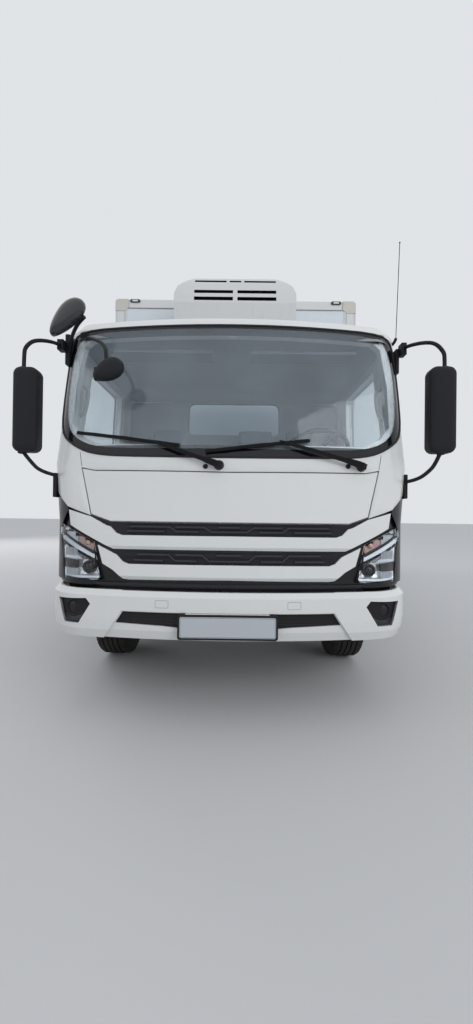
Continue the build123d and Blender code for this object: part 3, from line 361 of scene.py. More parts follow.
# Axles and springs: a forged front beam with knuckles and tie rod, a banjo rear axle, and
# leaf springs of separate tapered leaves held by U-bolts and clips. All of it is painted
# black and takes the most dirt.
axle_black = finish("axle black", (0.034, 0.033, 0.032), 0.55, drift=0.14, grain=160.0, depth=0.0009,
                    dust=0.95, dust_top=0.95)
spring_steel = finish("spring steel", (0.055, 0.050, 0.046), 0.50, metallic=0.35, drift=0.2, grain=180.0,
                      depth=0.0006, dust=0.95, dust_top=0.95)
dress(axle_black, "front_axle_beam", "rear_axle", "knuckle_left", "knuckle_right", "tie_rod",
      "propeller_shaft")
LEAF_COUNT = 7
LEAF_THICK = 0.0072
LEAF_REACH = 0.645
EYE_DROP = 0.015
SEAT_REACH = 0.07
# Columns: middle of the pack across the truck, axle station, seat height, eye height
SPRINGS = [(0.365, 1.150, 0.395, 0.585), (0.495, 5.625, 0.490, 0.640)]


def lofted(rings, form=None, caps=True, cyclic=False, closed=True, recalc=True):
    """Skin over rings of points. caps close its ends, or cyclic joins the last ring to the first."""
    form = form or bmesh.new()
    rows = [[form.verts.new(point) for point in ring] for ring in rings]
    for row, following in zip(rows, rows[1:] + rows[:1] if cyclic else rows[1:]):
        for k in range(len(row) if closed else len(row) - 1):
            m = (k + 1) % len(row)
            form.faces.new((row[k], row[m], following[m], following[k]))
    if caps:
        form.faces.new(rows[0])
        form.faces.new(rows[-1])
    if recalc:
        bmesh.ops.recalc_face_normals(form, faces=form.faces)
    return form


def leaf_rise(reach, seat, eye):
    """Height of the lowest leaf's underside, from its seat at the axle up to its eye."""
    return seat + (eye - EYE_DROP - seat) * (max(reach - SEAT_REACH, 0.0) / (LEAF_REACH - SEAT_REACH)) ** 1.35


spring_form = bmesh.new()
for across, axle, seat, eye in SPRINGS:
    for side, _ in SIDES:
        for leaf in range(LEAF_COUNT):
            half_length = LEAF_REACH * (1 - 0.105 * (LEAF_COUNT - 1 - leaf))
            base = leaf * (LEAF_THICK + 0.0006)
            rings = []
            for step in range(25):
                run = -half_length + 2 * half_length * step / 24
                low = leaf_rise(abs(run), seat, eye) + base * (1 - 0.55 * abs(run) / LEAF_REACH)
                wide = 0.034 if abs(run) < half_length - 0.02 else 0.026
                rings.append([at(side * (across + half), axle + run, low + lift) for half, lift in
                              ((-wide, 0.0), (wide, 0.0), (wide, LEAF_THICK), (-wide, LEAF_THICK))])
            lofted(rings, spring_form)
mesh_piece("leaf_spring_packs", spring_form, spring_steel, "chassis", stands_for="leaf_springs")


def pipe(name, routes, radius, material, body, smooth=True, cyclic=False, fine=2):
    """Bent tube along each route of points; its bends are as smooth as a tube bender makes them."""
    curve = bpy.data.curves.new(name, "CURVE")
    curve.dimensions, curve.use_fill_caps = "3D", True
    curve.bevel_depth, curve.bevel_resolution = radius, fine
    for route in routes:
        spline = curve.splines.new("NURBS" if smooth else "POLY")
        spline.points.add(len(route) - 1)
        for point, place in zip(spline.points, route):
            point.co = (*place, 1.0)
        spline.use_cyclic_u = cyclic
        if smooth:
            spline.order_u, spline.resolution_u, spline.use_endpoint_u = 3, 8, not cyclic
    curve.materials.append(material)
    made = settle(placed(name, curve))
    made.data.materials.clear()
    made.data.materials.append(material)
    rounded_edges(made.data, 50)
    return tagged(made, body)


bolt_routes, clip_rows = [], []
for across, axle, seat, eye in SPRINGS:
    for side, _ in SIDES:
        for run in (-0.045, 0.045):
            bolt_routes.append([at(side * (across + out), axle + run, seat + rise) for out, rise in (
                (-0.045, -0.07), (-0.045, 0.066), (0.0, 0.078), (0.045, 0.066), (0.045, -0.07))])
        for run in (-0.33, 0.33):
            low = leaf_rise(0.33, seat, eye)
            clip_rows.append((at(side * across, axle + run, low + 0.022), (0, 0, 1), (1, 0, 0)))
pipe("spring_u_bolts", bolt_routes, 0.008, zinc_steel, "chassis")
blocks("spring_clips", clip_rows, (0.080, 0.028, 0.050), axle_black, "chassis")


# Wheels: pressed steel discs with hand holes, welded to their rims and sprayed silver grey,
# with black road tyres. Six nuts hold each one to its hub.
def turns_of(count, phase=0.0):
    return [2 * pi * (index + phase) / count for index in range(count)]


def spun(profile, place, steps):
    """Profile of pairs spun round. place turns a pair, and a turn's sine and cosine, into a point."""
    rings = [[place(a, b, sin(turn), cos(turn)) for a, b in profile] for turn in turns_of(steps)]
    form = lofted(rings, caps=False, cyclic=True, closed=False, recalc=False)
    bmesh.ops.remove_doubles(form, verts=form.verts, dist=0.00001)
    bmesh.ops.recalc_face_normals(form, faces=form.faces)
    return form


def turned(profile, centre, steps):
    """Profile of (x, radius) points spun about the axle line."""
    return spun(profile, lambda x, r, s, c: Vector((x, centre.y + r * s, centre.z + r * c)), steps)


def circle(x, centre, radius, count, phase=0.0):
    """Turns and places spread round the axle line."""
    return [(turn, Vector((x, centre.y + radius * sin(turn), centre.z + radius * cos(turn))))
            for turn in turns_of(count, phase)]


tyre_rubber = finish("tyre rubber", (0.011, 0.011, 0.012), 0.78, drift=0.12, grain=500.0, depth=0.0004,
                     dust=0.17, dust_top=1.1, spread=0.06, shine=0.25)
rim_silver = finish("rim silver", (0.46, 0.47, 0.48), 0.36, metallic=0.55, coat=0.15, drift=0.06,
                    grain=500.0, depth=0.0002, dust=0.75, dust_top=1.0)
hub_grease = finish("hub iron", (0.09, 0.088, 0.085), 0.5, metallic=0.5, drift=0.2, grain=200.0,
                    depth=0.0006, dust=0.8, dust_top=1.0)
TYRE_R = 0.398
BEAD_R = 0.221
TREAD_STEPS = 64
# Half section of the tyre, as (across, radius): grooved tread, shoulder, sidewall with two rings, bead
TYRE_SECTION = [
    (0.0, 0.3975), (0.012, 0.3975), (0.013, 0.3825), (0.021, 0.3825), (0.022, 0.3970), (0.050, 0.3955),
    (0.051, 0.3825), (0.060, 0.3825), (0.061, 0.3945), (0.076, 0.3925), (0.086, 0.3885), (0.095, 0.380),
    (0.103, 0.366), (0.1105, 0.352), (0.1130, 0.344), (0.1148, 0.340), (0.1148, 0.334), (0.1135, 0.331),
    (0.1152, 0.312), (0.1155, 0.295), (0.1140, 0.278), (0.1128, 0.270), (0.1140, 0.266), (0.1136, 0.259),
    (0.1110, 0.256), (0.1065, 0.246), (0.0990, 0.236), (0.0950, 0.228), (0.0920, 0.222)]
# Sections as (outwards from the tyre's middle, radius)
RIM_SECTION = [
    (-0.092, 0.228), (-0.090, 0.210), (-0.060, 0.206), (0.02, 0.200), (0.070, 0.206), (0.088, 0.210),
    (0.092, 0.232), (0.096, 0.234), (0.0985, 0.228), (0.094, 0.208), (0.074, 0.199), (0.02, 0.193),
    (-0.060, 0.199), (-0.094, 0.208), (-0.097, 0.226)]
FRONT_DISC = [(0.040, 0.197), (0.046, 0.188), (0.078, 0.140), (0.082, 0.128), (0.082, 0.072),
              (0.072, 0.072), (0.072, 0.124), (0.068, 0.134), (0.035, 0.182), (0.030, 0.196)]
REAR_DISC = [(0.060, 0.197), (0.052, 0.188), (-0.035, 0.140), (-0.055, 0.128), (-0.055, 0.072),
             (-0.067, 0.072), (-0.067, 0.132), (-0.045, 0.146), (0.042, 0.192), (0.050, 0.199)]
# Columns: place, words in the tyre's and the body's name, tyres' middles, disc, its face, hub's inner
# end, drum's edge, hub's outer end
WHEELS = [("front", "tyre", "wheel", (0.900,), FRONT_DISC, 0.082, -0.018, 0.040, 0.132),
          ("rear", "tyres", "wheels", (0.694, 0.956), REAR_DISC, -0.055, -0.312, -0.160, 0.044)]
HAND_HOLES, HAND_HOLE_R = 8, 0.162


def wheel(side, centre, names, middles, disc_section, face, back, drum, end):
    """One wheel or pair: tyres, rims with the outer disc, hub with brake drum, nuts."""
    tyre_node, rim_node, body = names
    outer = side * middles[-1]

    def outwards(section, middle=outer):
        return [(middle + side * x, r) for x, r in section]
    rubber, steel, lugs = bmesh.new(), bmesh.new(), []
    for middle in [side * x for x in middles]:
        profile = [(middle - x, r) for x, r in reversed(TYRE_SECTION)]
        profile += [(middle + x, r) for x, r in TYRE_SECTION[1:]]
        profile += [(middle + 0.090, BEAD_R), (middle - 0.090, BEAD_R), profile[0]]
        merge(rubber, turned(profile, centre, TREAD_STEPS))
        for turn, _ in circle(middle, centre, TYRE_R, TREAD_STEPS, 0.5 if side > 0 else 0.0):
            out = Vector((0, sin(turn), cos(turn)))
            for way, _ in SIDES:
                lugs.append((centre + Vector((middle + way * 0.091, 0, 0)) + out * 0.3815,
                             (out * 0.86 + Vector((way * 0.52, 0, 0))).normalized(),
                             Vector((way * 0.86, 0, 0)) - out * 0.52))
        merge(steel, turned(outwards(RIM_SECTION + RIM_SECTION[:1], middle), centre, 72))
    mesh_piece(tyre_node + "_rubber", rubber, tyre_rubber, body, smooth=32, stands_for=tyre_node)
    blocks(tyre_node + "_shoulder_lugs", lugs, (0.026, 0.0245, 0.014), tyre_rubber, body)
    cutters = bmesh.new()
    for turn, place in circle(outer, centre, HAND_HOLE_R, HAND_HOLES, 0.5):
        way = Matrix.Rotation(-turn, 4, "X") @ Matrix.Rotation(pi / 2, 4, "Y")
        bmesh.ops.create_cone(cutters, cap_ends=True, segments=20, radius1=1.0, radius2=1.0, depth=0.30,
                              matrix=Matrix.Translation(place) @ way @ Matrix.Diagonal((0.014, 0.024, 1, 1)))
    cutter = placed("hand_hole_cutters", meshed("hand_hole_cutters", cutters))
    plate = turned(outwards(disc_section + disc_section[:1]), centre, 96)
    disc = placed(rim_node + "_disc", meshed(rim_node + "_disc", plate))
    punch = disc.modifiers.new("hand holes", "BOOLEAN")
    punch.object, punch.solver = cutter, "EXACT"
    disc = settle(disc)
    bpy.data.objects.remove(cutter)
    steel.from_mesh(disc.data)
    bpy.data.objects.remove(disc)
    mesh_piece(rim_node + "_steel", steel, rim_silver, body, smooth=28, stands_for=rim_node)
    hub = outwards([(back, 0.0), (back, 0.178), (drum, 0.178), (drum + 0.005, 0.172), (face - 0.012, 0.120),
                    (face - 0.010, 0.074), (end - 0.030, 0.066), (end - 0.012, 0.060), (end - 0.004, 0.052),
                    (end, 0.040), (end, 0.0)])
    mesh_piece(rim_node + "_hub", turned(hub, centre, 48), hub_grease, body, smooth=30)
    nuts = [(place, (side, 0, 0)) for _, place in circle(outer + side * face, centre, 0.104, 6, 0.25)]
    heads(rim_node + "_nuts", nuts, 0.0155, 0.022, 6, zinc_steel, body)
    bolts = [(place, (side, 0, 0)) for _, place in circle(outer + side * (end - 0.001), centre, 0.030, 8)]
    heads(rim_node + "_hub_bolts", bolts, 0.0045, 0.005, 6, zinc_steel, body)


for place, tyre_word, body_word, *sizes in WHEELS:
    for side, hand in SIDES:
        names = [f"{word}_{place}_{hand}" for word in (tyre_word, "wheel", body_word)]
        low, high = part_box(names[0])
        wheel(side, Vector((0, (low.y + high.y) / 2, TYRE_R)), names, *sizes)

# Engine with its gearbox, a plain cast block under the cab, and what hangs on the frame: the
# fuel tank on straps, battery box, air tank, silencer, steps, mudguards, side guards.
cast_iron = finish("cast iron", (0.115, 0.112, 0.108), 0.66, metallic=0.35, drift=0.2, grain=140.0,
                   depth=0.0012, dust=0.8, dust_top=1.0)
tank_skin = finish("tank aluminium", (0.50, 0.51, 0.52), 0.30, metallic=0.9, drift=0.08, grain=260.0,
                   depth=0.0003, dust=0.6, dust_top=0.95, stretch=(1.0, 0.08, 1.0))
silencer_skin = finish("aluminised steel", (0.36, 0.35, 0.33), 0.46, metallic=0.8, drift=0.3, grain=200.0,
                       depth=0.0004, dust=0.7, dust_top=0.9)
guard_skin = finish("anodised guard", (0.55, 0.56, 0.57), 0.34, metallic=0.85, drift=0.06, grain=300.0,
                    depth=0.0002, dust=0.55, dust_top=1.1, stretch=(1.0, 0.06, 1.0))
black_plastic = finish("moulded black", (0.013, 0.013, 0.014), 0.50, drift=0.06, grain=900.0, depth=0.00022,
                       dust=0.10, dust_top=1.1, shine=0.22)
for node, material, radius in (
        ("engine_block", cast_iron, 0.012), ("fuel_tank", tank_skin, 0.004), ("battery_box", black_plastic, 0.006),
        ("exhaust_silencer", silencer_skin, 0.004), ("mudguards", black_plastic, 0.002),
        ("guard_rails", guard_skin, 0.006), ("cab_steps", black_plastic, 0.006)):
    softened(node, material, radius)


def rounded_outline(middle, half, corner, steps):
    """Rectangle with round corners, as points in order: its middle, half sizes, corner radius."""
    points = []
    for quarter, (sx, sz) in enumerate(((1, 1), (-1, 1), (-1, -1), (1, -1))):
        for step in range(steps + 1):
            angle = pi / 2 * (quarter + step / steps)
            points.append((middle[0] + sx * (half[0] - corner) + corner * cos(angle),
                           middle[1] + sz * (half[1] - corner) + corner * sin(angle)))
    return points


def strap_form(low, high, station, width=0.045, proud=0.001, thick=0.003):
    """Strap round a square tank: a closed rounded ring standing proud of it."""
    x_mid, z_mid = (low.x + high.x) / 2, (low.z + high.z) / 2
    half = ((high.x - low.x) / 2 + proud, (high.z - low.z) / 2 + proud)
    outline = rounded_outline((x_mid, z_mid), half, 0.06, 6)
    return lofted([[(x + grow * (1 if x > x_mid else -1), station + shift - width / 2,
                     z + grow * (1 if z > z_mid else -1)) for x, z in outline]
                   for shift, grow in ((0, 0), (width, 0), (width, thick), (0, thick))], caps=False, cyclic=True)


tank_low, tank_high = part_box("fuel_tank")
for number, share in enumerate((0.2, 0.8)):
    station = tank_low.y + share * (tank_high.y - tank_low.y)
    mesh_piece(f"tank_strap_{number}", strap_form(tank_low, tank_high, station), zinc_steel, "chassis")
CAP_SECTION = [(0.0, 0.0), (0.038, 0.0), (0.038, 0.012), (0.052, 0.014), (0.052, 0.030), (0.048, 0.034),
               (0.020, 0.036), (0.0, 0.036)]
cap_place = Vector((tank_low.x + 0.10, tank_low.y + 0.14, tank_high.z))
mesh_piece("tank_cap", spun(CAP_SECTION, lambda r, z, s, c: cap_place + Vector((r * c, r * s, z)), 32),
           black_plastic, "chassis", smooth=30)
steps_low, steps_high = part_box("cab_steps")
heads("step_studs", [(Vector((side * (0.905 + row * 0.034), steps_low.y + 0.042 + column * 0.017, 0.4305)),
                      (0, 0, 1)) for side, _ in SIDES for row in range(5) for column in range(9)],
      0.0045, 0.004, 8, black_plastic, "chassis")
battery_low, battery_high = at(0.560, 2.550, 0.420), at(1.040, 3.050, 0.780)
battery_x = (battery_low.x + battery_high.x) / 2
rib_rows = [(Vector((battery_x, battery_low.y + 0.06 + index * 0.042, battery_high.z + 0.002)),
             (0, 0, 1), (1, 0, 0)) for index in range(10)]
blocks("battery_cover_ribs", rib_rows, (0.40, 0.014, 0.010), black_plastic, "chassis")
clamp_rows = [(Vector((battery_high.x + 0.002, battery_low.y + share, 0.66)), (1, 0, 0), (0, 0, 1))
              for share in (0.12, 0.38)]
blocks("battery_clamps", clamp_rows, (0.11, 0.035, 0.010), zinc_steel, "chassis")
BAND_R = 0.143
pipe("silencer_bands", [[at(-0.700, 3.750 + 0.75 * share, 0.560)
                         + Vector((BAND_R * cos(turn), 0, BAND_R * sin(turn)))
                         for turn in turns_of(32)] for share in (0.12, 0.5, 0.88)],
     0.006, zinc_steel, "chassis", smooth=False, cyclic=True)

# Load box: insulated panels with a white gel-coated skin, held by aluminium profiles riveted
# along every edge, with a resin board floor, a steel rear frame, and cast corner caps at
# the front that were painted cream.
box_skin = finish("gel coat skin", (0.64, 0.66, 0.69), 0.28, coat=0.25, drift=0.025, drift_scale=0.8,
                  grain=60.0, depth=0.00035, coarse=0.2, dust=0.30, dust_top=2.0)
# Painted light: the front wall is the same gel coat as the sides, made lighter and bluer to take out the shade it
# stands in behind the cab
lightened_front_skin = finish("front wall skin, painted lighter", (0.70, 0.75, 0.80), 0.32, coat=0.2, drift=0.04, drift_scale=0.8,
                    grain=60.0, depth=0.00035, coarse=0.2, dust=0.12, dust_top=2.5)
profile_white = finish("painted profile", (0.70, 0.71, 0.72), 0.34, coat=0.2, grain=500.0, depth=0.00015,
                       dust=0.30, dust_top=2.0)
profile_metal = finish("aluminium profile", (0.62, 0.63, 0.64), 0.33, metallic=0.85, drift=0.06, grain=280.0,
                       dust=0.35, dust_top=1.8, stretch=(0.2, 0.2, 0.2))
cap_cream = finish("cream corner cap", (0.60, 0.59, 0.53), 0.40, drift=0.06, grain=500.0, dust=0.2,
                   dust_top=2.5)
floor_board = finish("resin board", (0.085, 0.060, 0.042), 0.55, drift=0.25, drift_scale=6.0, grain=260.0,
                     depth=0.0006, dust=0.15, dust_top=1.4, stretch=(1.0, 0.05, 1.0))
frame_steel = finish("galvanised frame", (0.50, 0.51, 0.52), 0.42, metallic=0.8, drift=0.16, drift_scale=9.0,
                     grain=240.0, depth=0.0003, dust=0.45, dust_top=1.9)
door_seal = finish("seal rubber", (0.012, 0.012, 0.013), 0.6, drift=0.05, grain=700.0, dust=0.10, dust_top=1.6)
joint_line_grey = finish("dark joint line", (0.10, 0.105, 0.11), 0.7, drift=0.05, grain=500.0, dust=0.1)
dress(floor_board, "box_floor")
softened("box_side_walls", box_skin)
# The front wall gets the lightened skin, painted against its shade
softened("box_front_wall", lightened_front_skin)
softened("box_rear_frame", frame_steel, 0.004)
roof_low, roof_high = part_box("box_roof")
wall_low, wall_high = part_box("box_side_walls")
front_low, front_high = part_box("box_front_wall")
BOX_HALF, BOX_TOP, BOX_FRONT, BOX_FOOT = roof_high.x, roof_high.z, front_low.y, front_low.z


def everything(form):
    return form.verts[:] + form.edges[:] + form.faces[:]


def cut_edges(form):
    """The roof's long edges are cut at a slope under the profiles."""
    for side, _ in SIDES:
        cut = bmesh.ops.bisect_plane(form, geom=everything(form), dist=0.0001, clear_outer=True,
                                     plane_co=(side * BOX_HALF, 0, BOX_TOP - 0.021), plane_no=(side, 0, 1))
        bmesh.ops.edgenet_fill(form, edges=[e for e in cut["geom_cut"] if isinstance(e, bmesh.types.BMEdge)])


softened("box_roof", box_skin, 0.004, reshape=cut_edges)


def bars(*corners, form=None):
    """Square bars, each between two opposite corners."""
    form = form or bmesh.new()
    for pair in corners:
        spans = [sorted(ends) for ends in zip(*pair)]
        points = [form.verts.new((x, y, z)) for x in spans[0] for y in spans[1] for z in spans[2]]
        for face in ((0, 1, 3, 2), (4, 6, 7, 5), (0, 4, 5, 1), (2, 3, 7, 6), (0, 2, 6, 4), (1, 5, 7, 3)):
            form.faces.new([points[k] for k in face])
    return form


def prism(outline, y0, y1, form=None):
    """Solid between two places along Y with an outline of (x, z) points."""
    form = form or bmesh.new()
    front, back = [[form.verts.new((x, y, z)) for x, z in outline] for y in (y0, y1)]
    form.faces.new(front)
    form.faces.new(back)
    for k in range(len(outline)):
        m = (k + 1) % len(outline)
        form.faces.new((front[k], front[m], back[m], back[k]))
    bmesh.ops.recalc_face_normals(form, faces=form.faces)
    return form


PROUD, EDGE_CUT, TOP_RAIL, FOOT_RAIL, CORNER_RAIL = 0.0025, 0.020, 0.080, 0.110, 0.075
FRONT_RAIL_IN, FRONT_RAIL_FOOT = 0.122, 0.09
CAP_SIZE, CAP_DROP = 0.142, 0.131
RIVET_PITCH = 0.12
rails, front_rails, caps = bmesh.new(), bmesh.new(), bmesh.new()
rail_front, rail_back = BOX_FRONT - PROUD, wall_high.y
for side, _ in SIDES:
    inner, reach, edge = side * (BOX_HALF - 0.02), side * (BOX_HALF + PROUD), side * (BOX_HALF - 0.03)
    bars([(inner, rail_front, BOX_FOOT - 0.002), (reach, rail_back, BOX_FOOT + FOOT_RAIL)], form=rails)
    prism([(edge, BOX_TOP + 0.001), (reach - side * EDGE_CUT, BOX_TOP + 0.001), (reach, BOX_TOP - EDGE_CUT),
           (reach, BOX_TOP - TOP_RAIL), (edge, BOX_TOP - TOP_RAIL)], rail_front, rail_back, rails)
    bars([(inner, rail_front, BOX_FOOT + FOOT_RAIL), (reach, BOX_FRONT + CORNER_RAIL, BOX_TOP - TOP_RAIL)],
         form=rails)
    bars([(side * (BOX_HALF - FRONT_RAIL_IN), BOX_FRONT - 0.006, BOX_FOOT + FRONT_RAIL_FOOT),
          (side * (BOX_HALF - 0.018), BOX_FRONT + 0.01, BOX_TOP - 0.088)], form=front_rails)
    cap = [(-0.024, 0.0), (0.0, -0.024), (0.0, -CAP_DROP), (-CAP_SIZE * 0.72, -CAP_DROP),
           (-CAP_SIZE, -CAP_DROP * 0.72), (-CAP_SIZE, 0.0)]
    prism([(side * (BOX_HALF + 0.004 + x), BOX_TOP + 0.002 + z) for x, z in cap], BOX_FRONT - 0.012,
          BOX_FRONT + 0.098, caps)
for half, low, high in ((BOX_HALF - 0.15, BOX_TOP - 0.094, BOX_TOP - 0.004),
                        (BOX_HALF - 0.02, BOX_FOOT, BOX_FOOT + FRONT_RAIL_FOOT)):
    bars([(-half, BOX_FRONT - 0.007, low), (half, BOX_FRONT + 0.01, high)], form=front_rails)
mesh_piece("box_side_profiles", rails, profile_metal, "chassis", bevel=0.002)
mesh_piece("box_front_profiles", front_rails, profile_white, "chassis", bevel=0.002)
mesh_piece("box_corner_caps", caps, cap_cream, "chassis", bevel=0.005)
# Dark grey lines where the front profiles meet the wall
joint_x, joint_z = BOX_HALF - FRONT_RAIL_IN + 0.022, BOX_TOP - 0.0945
pipe("front_wall_joint_lines", [[Vector((side * x, BOX_FRONT - 0.0065, z)) for x, z in (
    (0.0, joint_z), (joint_x, joint_z), (joint_x, BOX_FOOT + FRONT_RAIL_FOOT))] for side, _ in SIDES],
    0.0024, joint_line_grey, "chassis", smooth=False)


def pitched(start, end):
    """Places one rivet pitch apart."""
    places = [start]
    while places[-1] + RIVET_PITCH < end:
        places.append(places[-1] + RIVET_PITCH)
    return places


rivet_rows = [(Vector((side * (BOX_HALF + PROUD), run, z)), (side, 0, 0))
              for run in pitched(BOX_FRONT + 0.10, wall_high.y - 0.05) for side, _ in SIDES
              for z in (BOX_FOOT + 0.085, BOX_TOP - 0.060)]
for rise in pitched(BOX_FOOT + 0.16, BOX_TOP - 0.18):
    for side, _ in SIDES:
        rivet_rows.append((Vector((side * (BOX_HALF + PROUD), BOX_FRONT + 0.055, rise)), (side, 0, 0)))
        rivet_rows.append((Vector((side * (BOX_HALF - 0.115), BOX_FRONT - 0.006, rise)), (0, -1, 0)))
heads("box_rivets", rivet_rows, 0.0042, 0.0022, 10, profile_metal, "chassis")

# Rear doors: skin, edge profile, seals, hinge straps, lock bars with cams, keepers and handles.
# Straps, bars and cams are zinc plated and bolted through the leaf.
lens_red, lens_amber, lens_white = [
    finish(name, colour, rough, coat=coat, drift=drift, grain=90.0, depth=0.0006, dust=dust, dust_top=1.3)
    for name, colour, rough, coat, drift, dust in (
        ("red lens", (0.42, 0.008, 0.010), 0.12, 0.6, 0.05, 0.35),
        ("amber lens", (0.62, 0.20, 0.01), 0.12, 0.6, 0.05, 0.35),
        ("clear lens", (0.72, 0.74, 0.76), 0.10, 0.7, 0.03, 0.25))]
LEAF_IN, LEAF_OUT, LEAF_FACE, LEAF_EDGE = 0.005, BOX_HALF - 0.035, at(0, 7.310, 0).y, 0.045
BAR_X = 0.210
for side, hand in SIDES:
    body = "box_door_" + hand
    softened(body, box_skin, 0.004)
    door_low, door_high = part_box(body)
    foot, top = door_low.z, door_high.z

    def leaf_bars(y0, y1, *spans):
        return bars(*([(side * x0, LEAF_FACE + y0, z0), (side * x1, LEAF_FACE + y1, z1)]
                      for x0, x1, z0, z1 in spans))
    edge = leaf_bars(-0.004, 0.003, (LEAF_IN, LEAF_IN + LEAF_EDGE, foot, top),
                     (LEAF_OUT - LEAF_EDGE, LEAF_OUT, foot, top),
                     (LEAF_IN + LEAF_EDGE, LEAF_OUT - LEAF_EDGE, foot, foot + LEAF_EDGE),
                     (LEAF_IN + LEAF_EDGE, LEAF_OUT - LEAF_EDGE, top - LEAF_EDGE, top))
    mesh_piece(body + "_edge_profile", edge, profile_metal, body, bevel=0.002)
    seal = leaf_bars(-0.074, -0.055, (LEAF_IN - 0.002, LEAF_IN + 0.012, foot + 0.01, top - 0.01),
                     (LEAF_OUT - 0.02, LEAF_OUT + 0.006, foot + 0.01, top - 0.01),
                     (LEAF_IN, LEAF_OUT, foot - 0.004, foot + 0.014), (LEAF_IN, LEAF_OUT, top - 0.014, top + 0.004))
    mesh_piece(body + "_seal", seal, door_seal, body, bevel=0.003)
    strap_rows = [(at(side * x, 7.318, z + 0.030), (0, 1, 0)) for z in (1.250, 1.850, 2.550, 3.150)
                  for x in (0.99, 1.05, 1.13, 1.20)]
    heads(body + "_strap_bolts", strap_rows, 0.0075, 0.006, 6, zinc_steel, body)
    softened("lock_bars_" + hand, zinc_steel, 0.002)
    bar_x = side * BAR_X
    fittings = bmesh.new()
    for z, below, above in ((foot + 0.012, 0.03, 0.004), (top - 0.012, 0.0, 0.034)):
        bars([(bar_x - 0.028, LEAF_FACE + 0.006, z - 0.018), (bar_x + 0.028, LEAF_FACE + 0.034, z + 0.018)],
             [(bar_x - 0.010, LEAF_FACE + 0.001, z - below), (bar_x + 0.045, LEAF_FACE + 0.016, z + above)],
             form=fittings)
    bars([(side * 0.56, LEAF_FACE + 0.001, 1.585), (side * 0.64, LEAF_FACE + 0.020, 1.650)], form=fittings)
    mesh_piece(body + "_lock_cams", fittings, zinc_steel, body, bevel=0.003)
    guide_rows = [(at(side * x, 7.336, z + lift), (0, 1, 0)) for z in (1.130, 1.480, 2.100, 2.700, 3.290)
                  for x in (BAR_X - 0.032, BAR_X + 0.032) for lift in (-0.018, 0.018)]
    heads(body + "_guide_bolts", guide_rows, 0.0045, 0.004, 6, zinc_steel, body)
keepers = bars(*([at(side * BAR_X - 0.05, 7.230, z - 0.016), at(side * BAR_X + 0.05, 7.262, z + 0.016)]
                 for side, _ in SIDES for z in (1.012, 3.412)))
mesh_piece("lock_keepers", keepers, zinc_steel, "chassis", bevel=0.003)

# Lamps of the load box: tail lamps of four cells in a dark housing, pale markers above the
# front wall, amber side markers along the foot, and red reflectors on the underrun bar.
marker_dark = finish("marker housing", (0.016, 0.016, 0.017), 0.35, coat=0.3, drift=0.05, grain=500.0,
                     depth=0.0001, dust=0.2, dust_top=2.0)
LAMP_TOP, LAMP_LOW, LAMP_BACK = 0.700, 0.560, at(0, 7.235, 0).y
# Columns: inner x, outer x, lens
TAIL_CELLS = [(0.770, 0.862, lens_red), (0.868, 0.930, lens_white), (0.936, 1.020, lens_amber),
              (1.026, 1.112, lens_red)]
lamps_low, lamps_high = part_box("body_lamps")
for side, hand in SIDES:
    housing = bars([(side * 0.758, LAMP_BACK - 0.057, LAMP_LOW - 0.004),
                    (side * 1.122, LAMP_BACK - 0.008, LAMP_TOP + 0.004)])
    mesh_piece(f"tail_lamp_housing_{hand}", housing, black_plastic, "chassis", bevel=0.006)
    for number, (inner, outer, lens) in enumerate(TAIL_CELLS):
        cell = bars([(side * inner, LAMP_BACK - 0.012, LAMP_LOW + 0.010),
                     (side * outer, LAMP_BACK + 0.006, LAMP_TOP - 0.010)])
        mesh_piece(f"tail_lens_{hand}_{number}", cell, lens, "chassis", bevel=0.005)
    ridge_rows = [(Vector((side * 0.94, LAMP_BACK + 0.0065, LAMP_LOW + 0.018 + k * 0.0115)),
                   (0, 1, 0), (1, 0, 0)) for k in range(10)]
    blocks(f"tail_lens_ridges_{hand}", ridge_rows, (0.338, 0.0022, 0.0016), lens_red, "chassis")
for side, hand in SIDES:
    for name, half, depth, material in (("housing", (0.0540, 0.0170), 0.019, marker_dark),
                                        ("lens", (0.031, 0.0090), 0.0215, lens_white)):
        outline = rounded_outline((side * (BOX_HALF - 0.211), lamps_high.z - 0.020), half, half[1] * 0.95, 6)
        mesh_piece(f"marker_{name}_{hand}", prism(outline, BOX_FRONT - depth, BOX_FRONT + 0.001), material,
                   "chassis", bevel=0.002,
                   stands_for="body_lamps" if name == "housing" and side > 0 else None)
side_rows = [(at(side * (BOX_HALF + PROUD), run, BOX_FOOT + 0.045), (side, 0, 0), (0, 1, 0))
             for side, _ in SIDES for run in (2.3, 4.0, 5.7, 7.0)]
blocks("side_markers", side_rows, (0.070, 0.026, 0.010), lens_amber, "chassis")
reflector_rows = [(at(side * 1.02, 7.160, 0.480), (0, 1, 0), (1, 0, 0)) for side, _ in SIDES]
blocks("rear_reflectors", reflector_rows, (0.150, 0.045, 0.012), lens_red, "chassis")

# Cooling unit: a moulded white housing on the front wall, with louvre slots over a dark
# coil, screwed seams and a grating below; the evaporator hangs inside the box.
unit_shell = finish("unit housing", (0.66, 0.67, 0.68), 0.30, coat=0.25, drift=0.02, grain=420.0,
                    depth=0.00012, dust=0.22, dust_top=3.0)
# The near-black coil finish also paints the shade on the louvre slots' walls
coil_and_slot_shade_dark = finish("coil fins and painted slot shade", (0.004, 0.004, 0.006), 0.8, drift=0.1, grain=300.0, depth=0.0003, dust=0.0,
                   shine=0.1)
unit_low, unit_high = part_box("cooling_unit")
UNIT_FRONT, UNIT_FLANK = unit_low.y, unit_high.x + 0.0015
TWO_SLOTS = ((-0.385, -0.022), (0.022, 0.385))
# Columns: height of the slot's middle, its half height, depth of the coil, its stretches from x to x
LOUVRES = [(unit_high.z - 0.040, 0.011, 0.100, ((-0.385, -0.085), (-0.055, 0.055), (0.085, 0.385))),
           (unit_high.z - 0.171, 0.017, 0.040, TWO_SLOTS), (unit_high.z - 0.245, 0.017, 0.028, TWO_SLOTS)]


